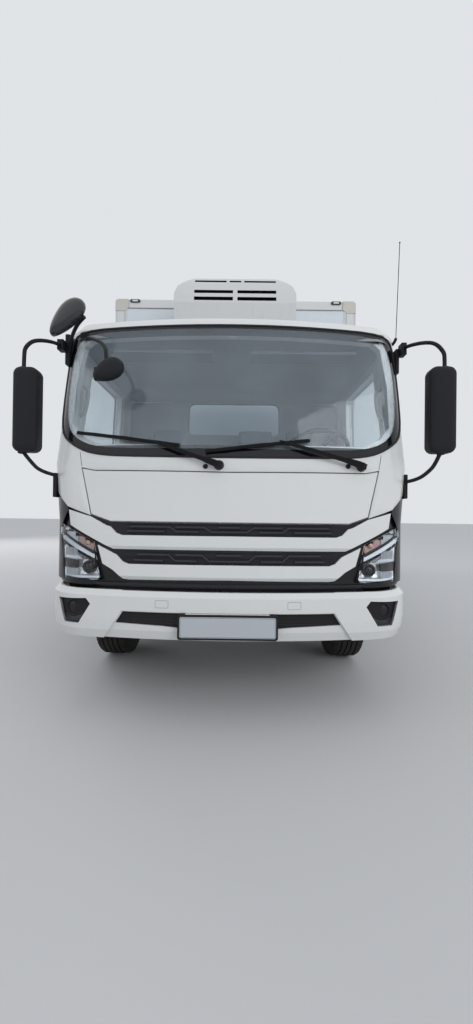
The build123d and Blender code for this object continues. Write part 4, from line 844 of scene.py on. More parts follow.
def shaded_slot_faces(form):
    """Walls of the louvre slots, given the coil's near-black finish as painted shade inside the slots."""
    for face in form.faces:
        place = face.calc_center_median()
        inside = any(abs(place.z - middle) < half + 0.0006 for middle, half, _, _ in LOUVRES)
        if inside and abs(place.x) < 0.3865 and abs(face.normal.y) < 0.85 and place.y < UNIT_FRONT + 0.4:
            face.material_index = 1


softened("cooling_unit", unit_shell, angle=38, reshape=shaded_slot_faces, second=coil_and_slot_shade_dark)
coil, vane_rows = bmesh.new(), []
for middle, half, depth, stretches in LOUVRES:
    for x0, x1 in stretches:
        bars([(x0 + 0.0005, UNIT_FRONT + depth, middle - half),
              (x1 - 0.0005, UNIT_FRONT + depth + 0.008, middle + half)], form=coil)
        count = int((x1 - x0) / 0.012) if stretches is TWO_SLOTS else 0
        vane_rows += [(Vector((x0 + (x1 - x0) * k / count, UNIT_FRONT + depth - 0.003, middle)), (0, -1, 0),
                       (0, 0, 1)) for k in range(1, count)]
mesh_piece("unit_coil", coil, coil_and_slot_shade_dark, "chassis")
blocks("unit_coil_fins", vane_rows, (0.032, 0.0015, 0.006), coil_and_slot_shade_dark, "chassis")
grate_rows = [(Vector((side * UNIT_FLANK, UNIT_FRONT + 0.35, unit_low.z + 0.14 + 0.022 * k)), (side, 0, 0), (0, 1, 0))
              for side, _ in SIDES for k in range(12)]
blocks("unit_side_grating", grate_rows, (0.24, 0.008, 0.006), coil_and_slot_shade_dark, "chassis")
screw_rows = [(Vector((side * UNIT_FLANK, UNIT_FRONT + y, unit_low.z + z)), (side, 0, 0)) for side, _ in SIDES
              for y in (0.16, 0.50) for z in (0.10, 0.42)]
heads("unit_screws", screw_rows, 0.007, 0.004, 10, zinc_steel, "chassis")

# Cab shell: pressed steel panels, welded, primed and painted white over everything, with
# rubber door seals and black plastic handles. The paint has a slight orange peel.
white_paint = finish("white cab paint", (0.73, 0.74, 0.735), 0.22, coat=0.55, drift=0.015, drift_scale=1.2,
                     grain=220.0, depth=0.00010, coarse=0.4, dust=0.12, dust_top=1.0, spread=0.04)
# Near black for the painted shade in the front panel's creases, and for the plate's printed border
crease_shade_and_print_black = finish("seam shadow", (0.02, 0.02, 0.02), 0.8, drift=0.02, dust=0.1)
for node in ("cab_front_panel", "cab_side_frames", "cab_roof", "cab_back_wall"):
    softened(node, white_paint, 0.004)
# Plan outline of the cab. Columns: height, station of the front at the middle, half width, and
# how far in from the side its round corner begins
CAB_SECTIONS = [(0.700, 0.050, 1.090, 0.260), (1.100, 0.070, 1.098, 0.260), (1.450, 0.115, 1.106, 0.140),
                (2.310, 0.256, 1.068, 0.140), (2.370, 0.305, 1.036, 0.140), (2.430, 0.470, 0.915, 0.140)]
FRONT_ARC = 4.5
SHEET_STEP = 0.03


def on_outline(section, corner, share, proud):
    """Place on one plan outline: along its bow from the middle, or along its round corner."""
    front, half, turn_in = section
    turn = asin((half - turn_in) / FRONT_ARC)
    tight = turn_in / (1 - sin(turn))
    hub, radius, angle = Vector((0, front + FRONT_ARC)), FRONT_ARC, turn * share
    if corner:
        hub = Vector((half - tight, front + FRONT_ARC - (FRONT_ARC - tight) * cos(turn)))
        radius, angle = tight, turn + (pi / 2 - turn) * share
    return hub + (radius + proud) * Vector((sin(angle), -cos(angle)))


def around(x, low, high, rise, proud):
    """Place between two plan outlines at that x."""
    corner = abs(x) > low[1] - low[2] + rise * (high[1] - high[2] - low[1] + low[2])
    near, far = 0.0, 1.0
    for _ in range(24):
        share = (near + far) / 2
        place = on_outline(low, corner, share, 0.0).lerp(on_outline(high, corner, share, 0.0), rise)
        near, far = (share, far) if place.x < abs(x) else (near, share)
    return on_outline(low, corner, share, proud).lerp(on_outline(high, corner, share, proud), rise)


def section_pair(z):
    for low, high in zip(CAB_SECTIONS, CAB_SECTIONS[1:]):
        if z <= high[0]:
            break
    return low[1:], high[1:], (z - low[0]) / (high[0] - low[0])


def skin(x, z, proud=0.0):
    """Point on the cab's outer surface at that place on its front, or standing off it."""
    place = around(x, *section_pair(z), proud)
    return at(place.x if x >= 0 else -place.x, place.y, z)


def half_width(z):
    low, high, rise = section_pair(z)
    return low[1] + rise * (high[1] - low[1])


def cut_corners(points, share=0.25):
    """Rounds a closed outline by cutting its corners, and the new corners again."""
    for _ in range(2):
        cut = []
        for a, b in zip(points, points[1:] + points[:1]):
            cut += [tuple(p + share * (q - p) for p, q in zip(a, b)),
                    tuple(q - share * (q - p) for p, q in zip(a, b))]
        points = cut
    return points


def both_sides(half):
    """A half outline of (x, z) points from the middle outwards and back, with its mirror image."""
    return half + [(-x, z) for x, z in reversed(half) if x > 0]


def facing_front(form):
    """Turns a sheet's faces to look forwards."""
    bmesh.ops.recalc_face_normals(form, faces=form.faces)
    if sum(face.normal.y for face in form.faces) > 0:
        bmesh.ops.reverse_faces(form, faces=form.faces)
    return form


def patch_form(outline, proud):
    """Sheet on the cab's front with that outline, following its curve."""
    form = bmesh.new()
    form.faces.new([form.verts.new((x, 0, z)) for x, z in outline])
    for reach, way in zip(zip(*outline), (Vector((1, 0, 0)), Vector((0, 0, 1)))):
        cut = min(reach) + SHEET_STEP
        while cut < max(reach) - SHEET_STEP * 0.3:
            bmesh.ops.bisect_plane(form, geom=everything(form), plane_co=way * cut, plane_no=way, dist=0.0001)
            cut += SHEET_STEP
    bmesh.ops.triangulate(form, faces=[f for f in form.faces if len(f.verts) > 4])
    for vert in form.verts:
        vert.co = skin(vert.co.x, vert.co.z, proud)
    return facing_front(form)


def patch(name, outlines, proud, thick, material, bevel=0.0, stands_for=None):
    """One or more sheets on the cab's front as one piece, with a wall thickness inwards."""
    whole = bmesh.new()
    for outline in outlines:
        merge(whole, patch_form(outline, proud))
    mesh_piece(name, whole, material, "cab", bevel=bevel, thick=thick, smooth=35, stands_for=stands_for)


# Painted shade: dark lines laid in the front panel's creases near the windscreen's lower corners
pipe("front_panel_crease_shade", [[skin(side * x, z, -0.0008) for x, z in (
    (0.882, 1.425), (0.889, 1.455), (0.896, 1.487), (0.901, 1.512))] for side, _ in SIDES],
    0.0018, crease_shade_and_print_black, "cab", smooth=False)


# Windscreen and rear window: bonded tinted glass with a black printed edge and a rubber seal.
# A thin sky-blue film, partly dust and partly painted sheen, and a few smears lie on the panes.
def glazing(name, tint, ior, scale, detail, smear, film=None):
    """Clear pane, smeared here and there, with a sky-blue film of dust and painted sheen if asked; shadow rays pass."""
    material, tree, pane, place = blank_material(name)
    for label, value in (("Base Color", tint), ("Transmission Weight", 1.0), ("IOR", ior)):
        pane.inputs[label].default_value = value
    smears = noise(tree, place, scale, detail)
    tree.links.new(ranged(tree, smears, *smear), pane.inputs["Roughness"])
    surface = pane.outputs[0]
    if film:
        dust_and_sheen = add(tree, "ShaderNodeBsdfDiffuse", {"Color": (0.62, 0.72, 0.84, 1.0)})
        surface = add(tree, "ShaderNodeMixShader", {"Fac": ranged(tree, smears, *film), 1: surface,
                                                    2: dust_and_sheen.outputs[0]}).outputs[0]
    shadow = add(tree, "ShaderNodeLightPath").outputs["Is Shadow Ray"]
    clear = add(tree, "ShaderNodeBsdfTransparent", {"Color": tint})
    mixed = add(tree, "ShaderNodeMixShader", {"Fac": shadow, 1: surface, 2: clear.outputs[0]})
    tree.links.new(mixed.outputs[0], tree.nodes["Material Output"].inputs["Surface"])
    return material


# The window glass's film is sky blue: dust, and a painted sheen of the sky
glass = glazing("window glass", (0.89, 0.94, 0.96, 1.0), 1.45, 3.0, 5.0, (0.35, 0.75, 0.0, 0.05),
                film=(0.3, 0.8, 0.07, 0.13))
dress(glass, "cab_glazing", "door_glass_left", "door_glass_right")
print_black = finish("printed glass edge", (0.006, 0.006, 0.008), 0.12, coat=0.3, drift=0.02, grain=500.0,
                     depth=0.00003, dust=0.02, dust_top=1.6, shine=0.35)
# Grey for the painted shade band and painted reflection behind the windscreen's top and bottom
shade_and_reflection_grey = finish("painted shade and reflection bands", (0.075, 0.082, 0.090), 0.6, drift=0.08, grain=600.0, dust=0.0)
SCREEN_EDGE = [(0, 1.476), (0.55, 1.483), (0.80, 1.496), (0.935, 1.545), (1.050, 1.640), (1.068, 1.900),
               (1.038, 2.220), (0.965, 2.303), (0.55, 2.303), (0, 2.303)]
SCREEN_CLEAR = [(0, 1.527), (0.55, 1.530), (0.790, 1.540), (0.925, 1.588), (1.000, 1.676), (1.028, 1.905),
                (0.996, 2.190), (0.915, 2.282), (0.55, 2.284), (0, 2.284)]
BAND_STEPS = 5
edge_outline, clear_outline = [cut_corners(both_sides(half)) for half in (SCREEN_EDGE, SCREEN_CLEAR)]


def blended(one, other, share):
    return [tuple(p + share * (q - p) for p, q in zip(a, b)) for a, b in zip(one, other)]


band = lofted([[skin(x, z, 0.0009) for x, z in blended(edge_outline, clear_outline, step / BAND_STEPS)]
               for step in range(BAND_STEPS + 1)], caps=False)
mesh_piece("windscreen_printed_edge", facing_front(band), print_black, "cab", smooth=60)
pipe("windscreen_seal", [[skin(x, z, 0.001) for x, z in edge_outline]], 0.0065, door_seal, "cab",
     smooth=False, cyclic=True)
# Grey sheets on the cab's flange, seen through the glass above and below: a painted shade band under the roof at the
# top, and a painted reflection of the dashboard's top at the bottom
patch("windscreen_shade_and_reflection_bands", [[(-half, high), (-half, low), (half, low), (half, high)] for half, low, high in (
    (0.93, 2.236, 2.288), (0.82, 1.522, 1.549))], -0.0074, 0.0, shade_and_reflection_grey)
pipe("rear_window_seal", [[at(x, 1.784, z) for x, z in rounded_outline((0, 2.090), (0.457, 0.167), 0.062, 6)]],
     0.011, door_seal, "cab", smooth=False, cyclic=True)

# Doors: pressed skins with window seals, a waist moulding, handle and lock, and a repeater
# lamp. The handle is moulded plastic in a plate let into the skin.
WINDOW = [(0.560, 1.497), (0.700, 2.188), (1.388, 2.188), (1.403, 2.150), (1.403, 1.497)]
WAIST, HANDLE_Z = 1.455, 1.338
for side, hand in SIDES:
    node = "door_" + hand
    softened(node, white_paint, 0.004)
    x_skin, x_waist = half_width(1.32), half_width(WAIST)
    seal_route = [at(side * (half_width(z) + 0.0005), s, z) for s, z in cut_corners(WINDOW, share=0.12)]
    pipe(node + "_window_seal", [seal_route], 0.008, door_seal, node, smooth=False, cyclic=True)
    plate = bars([at(side * (x_skin - 0.004), 1.255, 1.285), at(side * (x_skin + 0.003), 1.425, 1.365)])
    mesh_piece(node + "_handle_plate", plate, black_plastic, node, bevel=0.003)
    grip = [at(side * (x_skin + out), station, HANDLE_Z) for out, station in (
        (0.002, 1.268), (0.020, 1.285), (0.024, 1.335), (0.020, 1.390), (0.002, 1.408))]
    pipe(node + "_handle", [grip], 0.0095, black_plastic, node)
    heads(node + "_lock", [(at(side * (x_skin + 0.003), 1.340, 1.303), (side, 0, 0))], 0.010, 0.003, 16,
          zinc_steel, node)
    moulding = bars([at(side * (x_waist - 0.004), 0.485, WAIST - 0.014),
                     at(side * (x_waist + 0.006), 1.448, WAIST + 0.014)])
    mesh_piece(node + "_waist_moulding", moulding, black_plastic, node, bevel=0.004)
    blinker = [(at(side * (half_width(1.40) + 0.004), 0.62, 1.375), (side, 0, 0), (0, 1, 0))]
    blocks(node + "_side_repeater", blinker, (0.075, 0.030, 0.014), lens_amber, node)

# Face of the cab: the service lid, two white strips across a black grille with embossed
# ribs, and black corner trims. All are moulded plastic but the lid, which is pressed steel.
gloss_black = finish("gloss black trim", (0.008, 0.008, 0.010), 0.30, coat=0.15, drift=0.04, grain=600.0,
                     depth=0.00008, dust=0.05, shine=0.3)
# The ribs and the fog lamp ramps are the same black plastic, painted lighter grey as the highlight they catch
painted_highlight_grey = finish("embossed ribs, painted lit", (0.026, 0.029, 0.034), 0.45, drift=0.04, grain=600.0, depth=0.0001, dust=0.05)


def sloped_foot(form):
    """The lowest part of each strip's face leans back below a crease."""
    for crease, foot in ((0.963, 0.944), (0.795, 0.772)):
        bmesh.ops.bisect_plane(form, geom=everything(form), dist=0.0001, plane_co=(0, 0, crease),
                               plane_no=(0, 0, 1))
        for vert in form.verts:
            if foot - 0.002 < vert.co.z < crease - 0.0005 and vert.co.y < skin(vert.co.x, vert.co.z, -0.006).y:
                vert.co.y += 0.62 * (crease - vert.co.z)


softened("front_lid", white_paint, 0.005)
softened("grille_strips", white_paint, 0.004, reshape=sloped_foot)
softened("grille", gloss_black)
# Columns: upper rib height, lower rib height, turn points along the half width
SLOT_RIBS = [(1.073, 1.048, (0.100, 0.140, 0.300, 0.335, 0.565)),
             (0.917, 0.884, (0.110, 0.150, 0.300, 0.340, 0.520))]
RIB_INSET, FINE_INSET = 0.010, 0.0165
rib_routes, fine_routes = [], []
for high, low, (a, b, c, d, e) in SLOT_RIBS:
    rib_routes += [[skin(side * x, z, -RIB_INSET) for x, z in points] for side, _ in SIDES for points in (
        [(0.0, low), (a, low), (b, high), (c, high)], [(b + 0.03, low), (c, low), (d, high), (e, high)],
        [(d + 0.03, low), (e + 0.02, low)], [(0.0, high), (a - 0.04, high)])]
    fine_routes += [[skin(-0.60 + 0.1 * k, z, -FINE_INSET) for k in range(13)]
                    for z in (low - 0.014, (low + high) / 2, high + 0.014)]
for name, routes, radius, material in (
        ("grille_ribs", rib_routes, 0.0065, painted_highlight_grey), ("grille_fine_ribs", fine_routes, 0.0028, gloss_black),
        ("grille_foot_rib", [[skin(-0.58 + 0.1 * k, 0.752, -FINE_INSET) for k in range(12)]], 0.005, painted_highlight_grey)):
    pipe(name, routes, radius, material, "cab", smooth=False)

# Headlamps: a dark housing with a faceted bright bowl round a projector, a light strip above
# it, and the indicator on top, all behind one clear moulded cover.
lamp_dark = finish("lamp housing", (0.012, 0.013, 0.016), 0.28, drift=0.05, grain=600.0, depth=0.0001, dust=0.03,
                   shine=0.35)
chrome = finish("vapour chrome", (0.86, 0.88, 0.92), 0.12, metallic=0.72, drift=0.02, grain=40.0, depth=0.0006,
                dust=0.0, spread=0.03)
strip_white = finish("light guide", (0.72, 0.79, 0.86), 0.20, coat=0.4, drift=0.02, grain=200.0, dust=0.05)
ribbed_clear = finish("ribbed lens", (0.50, 0.53, 0.57), 0.16, metallic=0.55, coat=0.4, drift=0.05, grain=120.0,
                      depth=0.0004, dust=0.05)
indicator_pink = finish("indicator bulb", (0.40, 0.27, 0.24), 0.22, metallic=0.35, coat=0.4, drift=0.1,
                        grain=60.0, depth=0.0006, dust=0.0)
bulb_amber = finish("bulb amber", (0.50, 0.30, 0.23), 0.20, coat=0.4, drift=0.05, grain=60.0, depth=0.0003,
                    dust=0.0)
lamp_glass = glazing("lamp cover", (0.95, 0.96, 0.97, 1.0), 1.35, 9.0, 4.0, (0.4, 0.8, 0.0, 0.06))
LAMP_OUTLINE = [(1.013, 1.083), (0.783, 0.985), (0.757, 0.868), (0.722, 0.768), (0.981, 0.764), (0.995, 0.894),
                (1.022, 1.026)]
MAIN_BOWL = [(0.997, 0.968), (0.764, 0.864), (0.732, 0.778), (0.974, 0.773)]
PROJECTOR, PROJECTOR_R = (0.812, 0.836), 0.027
# Columns: piece, outline, how far it stands off the cab's surface, thickness, finish, bevel
LAMP_SHEETS = [
    ("headlamp_housing", LAMP_OUTLINE, -0.034, 0.004, lamp_dark, 0.0),
    ("headlamp_day_strip", [(1.017, 1.062), (1.021, 1.026), (0.770, 0.904), (0.762, 0.880), (1.004, 0.992),
                            (1.020, 1.006)], -0.006, 0.010, strip_white, 0.001),
    ("indicator_clear", [(1.011, 1.076), (0.905, 1.034), (0.898, 0.980), (1.017, 1.036)], -0.020, 0.008,
     ribbed_clear, 0.001),
    ("indicator_bulb_bowl", [(0.902, 1.031), (0.790, 0.982), (0.774, 0.922), (0.895, 0.978)], -0.026, 0.006,
     indicator_pink, 0.001),
    ("headlamp_wedge", [(0.995, 0.884), (0.880, 0.874), (0.883, 0.829), (0.984, 0.828)], -0.005, 0.012,
     lamp_dark, 0.001),
    ("headlamp_foot_bar", [(0.976, 0.785), (0.744, 0.789), (0.762, 0.842), (0.752, 0.844), (0.731, 0.779),
                           (0.974, 0.774)], -0.0075, 0.004, strip_white, 0.001),
    ("headlamp_cover", LAMP_OUTLINE, -0.0015, 0.0025, lamp_glass, 0.0)]


def resampled(outline, count):
    """The same outline as evenly spaced points, starting at its first."""
    closed = outline + outline[:1]
    lengths = [sqrt((a[0] - b[0]) ** 2 + (a[1] - b[1]) ** 2) for a, b in zip(closed, closed[1:])]
    points, index, walked = [], 0, 0.0
    for k in range(count):
        target = sum(lengths) * k / count
        while walked + lengths[index] < target:
            walked += lengths[index]
            index += 1
        share = (target - walked) / lengths[index]
        points += blended([closed[index]], [closed[index + 1]], share)
    return points


def bowl_form(outline, centre, radius, rim_inset, depth, count=22, rings=4):
    """Reflector: from its outline it sinks in facets to a ring round the projector."""
    outer = resampled(outline, count)
    angles = [atan2(z - centre[1], x - centre[0]) for x, z in outer]
    inner = [(centre[0] + radius * cos(angle), centre[1] + radius * sin(angle)) for angle in angles]
    return facing_front(lofted([[skin(x, z, -(rim_inset + depth * sin(ring / rings * pi / 2)))
                                 for x, z in blended(outer, inner, ring / rings)] for ring in range(rings + 1)],
                               caps=False))


def ahead(profile, middle, steps=28):
    """Profile of (radius, inset) points spun about a line pointing forwards."""
    return spun(profile, lambda r, inset, s, c: middle + Vector((r * c, inset, r * s)), steps)


LENS_R = PROJECTOR_R - 0.002
RING_SECTION = [(PROJECTOR_R + 0.010, 0.036), (PROJECTOR_R + 0.010, 0.016), (PROJECTOR_R + 0.004, 0.013),
                (PROJECTOR_R, 0.016), (PROJECTOR_R, 0.022), (0.0, 0.022)]
DOME_SECTION = [(0.0, 0.008)] + [(LENS_R * sin(a), 0.022 - 0.014 * cos(a)) for a in (0.25, 0.55, 0.85, 1.15, 1.45)]
DOME_SECTION += [(LENS_R, 0.024), (0.0, 0.024)]
BULB_SECTION = [(0.0, 0.006), (0.010, 0.008), (0.014, 0.014), (0.014, 0.026)]
for side, hand in SIDES:
    def turned_to(outline):
        return outline if side > 0 else [(-x, z) for x, z in reversed(outline)]
    for name, outline, proud, thick, material, bevel in LAMP_SHEETS:
        patch(f"{name}_{hand}", [turned_to(outline)], proud, thick, material, bevel,
              "headlamps" if name == "headlamp_housing" and side > 0 else None)
    projector_place = skin(side * PROJECTOR[0], PROJECTOR[1])
    bowl = bowl_form(turned_to(MAIN_BOWL), (side * PROJECTOR[0], PROJECTOR[1]), PROJECTOR_R + 0.008, 0.009, 0.024)
    for name, form, material, smooth in (
            ("indicator_bulb", ahead(BULB_SECTION, skin(side * 0.822, 0.975), 18), bulb_amber, 60),
            ("headlamp_bowl", bowl, chrome, 8), ("projector_ring", ahead(RING_SECTION, projector_place), lamp_dark, 30),
            ("projector_lens", ahead(DOME_SECTION, projector_place), print_black, 50)):
        mesh_piece(f"{name}_{hand}", form, material, "cab", smooth=smooth)
    flute_rows = [(skin(side * (0.893 + 0.0108 * k), z, -0.012), (0, -1, 0), (0, 0, 1)) for k in range(9)
                  for z in (0.922, 0.802)]
    blocks(f"headlamp_flutes_{hand}", flute_rows, (0.048, 0.0055, 0.006), ribbed_clear, "cab")

# Bumper: one moulded shell with fog lamp recesses, an intake with fins, tow-eye covers, and
# the blank plate in its black holder.
# Grey for the painted shade in the tow-eye covers' gaps
gap_shade_grey = finish("painted gap shade", (0.34, 0.34, 0.34), 0.6, drift=0.02, dust=0.05)
plate_white = finish("plate white", (0.50, 0.53, 0.58), 0.34, drift=0.02, grain=800.0, depth=0.00008, dust=0.35)
softened("front_bumper", white_paint, 0.006, angle=12)
softened("bumper_inserts", black_plastic, 0.002)
BUMPER_PLAN = (0.0, 1.085, 0.260)
# Columns: height, how far the bumper's face stands back there
BUMPER_FACE = [(0.450, 0.026), (0.500, 0.006), (0.560, 0.0), (0.690, 0.0), (0.728, 0.028)]
LIP_TOP, LIP_INSET, LIP_HALF, LIP_SLOPE = 0.612, 0.016, 0.588, 0.674


def bumper_skin(x, z, proud=0.0):
    """Point on the bumper's face, with its ledge above and its set-back lip below the intake."""
    for low, high in zip(BUMPER_FACE, BUMPER_FACE[1:]):
        if z <= high[0]:
            break
    back = low[1] + (z - low[0]) / (high[0] - low[0]) * (high[1] - low[1])
    if z < LIP_TOP and abs(x) < LIP_HALF + LIP_SLOPE * (LIP_TOP - z):
        back += LIP_INSET
    place = around(x, BUMPER_PLAN, BUMPER_PLAN, 0.0, proud - back)
    return at(place.x if x >= 0 else -place.x, place.y, z)


apron = lofted([[skin(-0.78 + 0.06 * k, z, -back) for k in range(27)]
                for z, back in ((0.757, 0.004), (0.7015, 0.030))], caps=False, closed=False, recalc=False)
mesh_piece("grille_apron", apron, gloss_black, "cab", thick=0.003)
pipe("intake_fins", [[bumper_skin(side * x, z, -0.012) for x in (0.27, 0.36, 0.45, 0.54, 0.60)]
                     for side, _ in SIDES for z in (0.545, 0.562, 0.579)],
     0.0038, gloss_black, "chassis", smooth=False)
FOG_RING = [(0.052, 0.004), (0.052, -0.004), (0.046, -0.006), (0.040, -0.001), (0.036, 0.003)]
FOG_LENS = [(0.0, -0.002), (0.014, -0.0012), (0.026, 0.001), (0.037, 0.004)]
for side, hand in SIDES:
    middle = bumper_skin(side * 0.880, 0.612, -0.020)
    mesh_piece(f"fog_lamp_ring_{hand}", ahead(FOG_RING, middle), black_plastic, "chassis",
               smooth=30)
    mesh_piece(f"fog_lamp_lens_{hand}", ahead(FOG_LENS, middle), print_black, "chassis", smooth=60)
# The fog lamp ramps face upwards and are painted lighter as a highlight
ramps = bmesh.new()
for side, _ in SIDES:
    ramps.faces.new([ramps.verts.new(bumper_skin(side * x, z, -back)) for x, z, back in (
        (0.846, 0.533, 0.006), (0.936, 0.530, 0.006), (0.952, 0.574, 0.0195), (0.812, 0.582, 0.0195))])
mesh_piece("fog_lamp_ramps", ramps, painted_highlight_grey, "chassis", thick=0.002)
# Painted shade: grey lines on the bumper's face where the tow-eye covers' gaps are
pipe("tow_eye_cover_gap_shade", [[bumper_skin(x, z, 0.0002) for x, z in
                              rounded_outline((side * 0.362, 0.655), (0.036, 0.020), 0.006, 2)]
                             for side, _ in SIDES],
     0.0011, gap_shade_grey, "chassis", smooth=False, cyclic=True)
plate_low, plate_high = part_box("number_plate")
plate_middle = (0.0, (plate_low.z + plate_high.z) / 2)
# Columns: piece, half size, corner, front and back behind the plate's face, finish, bevel, CAD node
for name, half, corner, y0, y1, material, bevel, node in (
        ("plate_holder", (0.272, 0.068), 0.014, 0.003, 0.034, black_plastic, 0.002, "number_plate"),
        ("blank_plate", (0.260, 0.056), 0.010, 0.0005, 0.004, plate_white, 0.0008, None)):
    form = prism(rounded_outline(plate_middle, half, corner, 6), plate_low.y + y0, plate_low.y + y1)
    mesh_piece(name, form, material, "chassis", bevel=bevel, stands_for=node)
ledge = bars([(-0.230, plate_low.y + 0.010, 0.6045), (0.225, plate_low.y + 0.034, 0.6100)])
mesh_piece("plate_ledge", ledge, white_paint, "chassis", bevel=0.001)
plate_line = rounded_outline(plate_middle, (0.256, 0.052), 0.008, 5)
pipe("plate_border", [[Vector((x, plate_low.y + 0.0006, z)) for x, z in plate_line]], 0.0009, crease_shade_and_print_black,
     "chassis", smooth=False, cyclic=True)

# Wipers: painted steel arms with a sprung head, a claw frame and a rubber blade, and a washer
# jet beside each pivot. Arm and blade are pressed from strip and painted satin black.
wiper_black = finish("wiper black", (0.006, 0.006, 0.007), 0.5, drift=0.04, grain=500.0, depth=0.0001, dust=0.02,
                     shine=0.2)
# Columns: pivot, outer and inner blade end, joint of arm and blade, washer jet
WIPERS = [((-0.064, 1.430), (-0.922, 1.630), (-0.290, 1.543), (-0.440, 1.564), (-0.141, 1.422)),
          ((0.769, 1.438), (0.458, 1.583), (-0.142, 1.508), (0.298, 1.568), (0.689, 1.438))]
# Columns: share of the arm's length, how far it stands off the glass, width, thickness
ARM = [(-0.03, 0.036, 0.030, 0.016), (0.06, 0.040, 0.038, 0.020), (0.16, 0.042, 0.034, 0.018),
       (0.24, 0.040, 0.026, 0.009), (0.6, 0.040, 0.023, 0.008), (0.96, 0.035, 0.018, 0.007),
       (1.04, 0.030, 0.013, 0.007)]
# Columns: start and end along the blade, stand at the ends and at the top
CLAWS = [(0.20, 0.80, 0.022, 0.031), (0.02, 0.36, 0.019, 0.024), (0.64, 0.98, 0.019, 0.024)]
CLAW_WIDTHS = (0.012, 0.015, 0.018, 0.020, 0.018, 0.015, 0.012)
PIVOT_CAP = [(0.0, -0.046), (0.017, -0.046), (0.022, -0.040), (0.024, -0.020), (0.028, -0.010), (0.030, 0.002)]
WASHER_JET = [(0.0, -0.014), (0.008, -0.014), (0.013, -0.009), (0.015, 0.001)]


def bar_along(start, end, rows, form=None):
    """Flat bar between two places on the front. Each row is share, stand off the glass, width, thickness."""
    places = [(*blended([start], [end], share)[0], stand) for share, stand, _, _ in rows]
    run = Vector((places[-1][0] - places[0][0], 0, places[-1][1] - places[0][1])).normalized()
    across = Vector((-run.z, 0, run.x))
    return lofted([[skin(*place) + across * (a * width / 2) + Vector((0, b * thick / 2, 0))
                    for a, b in ((-1, -1), (1, -1), (1, 1), (-1, 1))]
                   for place, (_, _, width, thick) in zip(places, rows)], form, recalc=False)


for number, (pivot, outer, inner, joint, jet) in enumerate(WIPERS):
    mesh_piece(f"wiper_arm_{number}", bar_along(pivot, joint, ARM), wiper_black, "cab",
               bevel=0.002, stands_for=None if number else "wipers")
    blade = bmesh.new()
    for stand, width, thick in ((0.009, 0.011, 0.013), (0.0175, 0.021, 0.004)):
        bar_along(outer, inner, [(k / 12, stand, width, thick) for k in range(13)], blade)
    for low, high, foot, top in CLAWS:
        bar_along(outer, inner, [(low + (high - low) * k / 6, foot + (top - foot) * sin(pi * k / 6), width, 0.005)
                                 for k, width in enumerate(CLAW_WIDTHS)], blade)
    bmesh.ops.recalc_face_normals(blade, faces=blade.faces)
    mesh_piece(f"wiper_blade_{number}", blade, wiper_black, "cab", bevel=0.001)
for number, (pivot, _, _, _, jet) in enumerate(WIPERS):
    for name, section, place, steps in (("wiper_pivot_cap", PIVOT_CAP, pivot, 24),
                                        ("washer_jet", WASHER_JET, jet, 18)):
        mesh_piece(f"{name}_{number}", ahead(section, skin(*place), steps), black_plastic, "cab")

# Mirrors: moulded black heads on bent steel tube, clamped to brackets on the cab; on the
# right side a dished kerb mirror and a small front mirror as well.
mirror_glass = finish("mirror glass", (0.78, 0.80, 0.82), 0.05, metallic=1.0, drift=0.01, grain=30.0,
                      depth=0.00002, dust=0.08, dust_top=2.0, spread=0.02)
mirror_black = finish("mirror housing", (0.012, 0.0125, 0.015), 0.48, drift=0.07, grain=700.0, depth=0.00030,
                      dust=0.03, dust_top=2.2, shine=0.25)
dish_black = finish("polished dish", (0.012, 0.014, 0.016), 0.12, coat=0.6, drift=0.1, grain=30.0, depth=0.0012,
                    dust=0.02, dust_top=2.5)
# Columns: side, middle x, half width, station of the front, bottom, top
HEADS_AT = [("left", 1.204, 0.075, 0.080, 1.512, 2.006), ("right", -1.190, 0.071, 0.120, 1.496, 1.990)]
# Columns: depth behind the head's front, share of the full outline
HEAD_SECTIONS = [(-0.0045, 0.52), (-0.003, 0.68), (0.000, 0.82), (0.003, 0.90), (0.008, 0.96), (0.016, 0.99),
                 (0.026, 1.0), (0.070, 0.99), (0.084, 0.95)]
for hand, middle, half, station, low, high in HEADS_AT:
    def head_ring(inset, corner, depth):
        outline = rounded_outline((middle, (low + high) / 2), (half - inset, (high - low) / 2 - inset), corner, 8)
        return [at(x, station + depth, z) for x, z in outline]
    insets = [(half * (1 - share), depth) for depth, share in HEAD_SECTIONS]
    rings = [head_ring(inset, max(0.042 - inset * 0.5, 0.02), depth) for inset, depth in insets]
    mesh_piece(f"mirror_head_{hand}", lofted(rings), mirror_black, "cab", smooth=50,
               stands_for="mirrors" if hand == "left" else None)
    mesh_piece(f"mirror_pane_{hand}", lofted([head_ring(0.010, 0.034, depth) for depth in (0.083, 0.0855)]),
               mirror_glass, "cab", smooth=30)
TUBE_ROUTES = [
    [(1.225, 0.122, 1.985), (1.225, 0.122, 2.060), (1.222, 0.125, 2.100), (1.185, 0.150, 2.163),
     (1.140, 0.215, 2.193), (1.100, 0.330, 2.222), (1.075, 0.392, 2.222)],
    [(1.207, 0.122, 1.525), (1.190, 0.140, 1.462), (1.163, 0.165, 1.415), (1.120, 0.230, 1.368),
     (1.072, 0.318, 1.362)],
    [(-1.216, 0.162, 1.975), (-1.216, 0.162, 2.076), (-1.210, 0.164, 2.116), (-1.168, 0.169, 2.158),
     (-1.115, 0.215, 2.178), (-1.090, 0.300, 2.200), (-1.055, 0.385, 2.205)],
    [(-1.220, 0.162, 1.510), (-1.185, 0.178, 1.455), (-1.132, 0.218, 1.386), (-1.062, 0.318, 1.375)],
    [(-0.872, 0.178, 2.305), (-0.900, 0.195, 2.294), (-0.945, 0.230, 2.269), (-1.014, 0.320, 2.231),
     (-1.045, 0.385, 2.175)],
    [(-0.700, 0.064, 1.965), (-0.700, 0.064, 2.030), (-0.724, 0.110, 2.108), (-0.813, 0.200, 2.185),
     (-0.922, 0.345, 2.260)]]
pipe("mirror_tubes", [[at(*place) for place in route] for route in TUBE_ROUTES], 0.0112, mirror_black, "cab",
     fine=3)
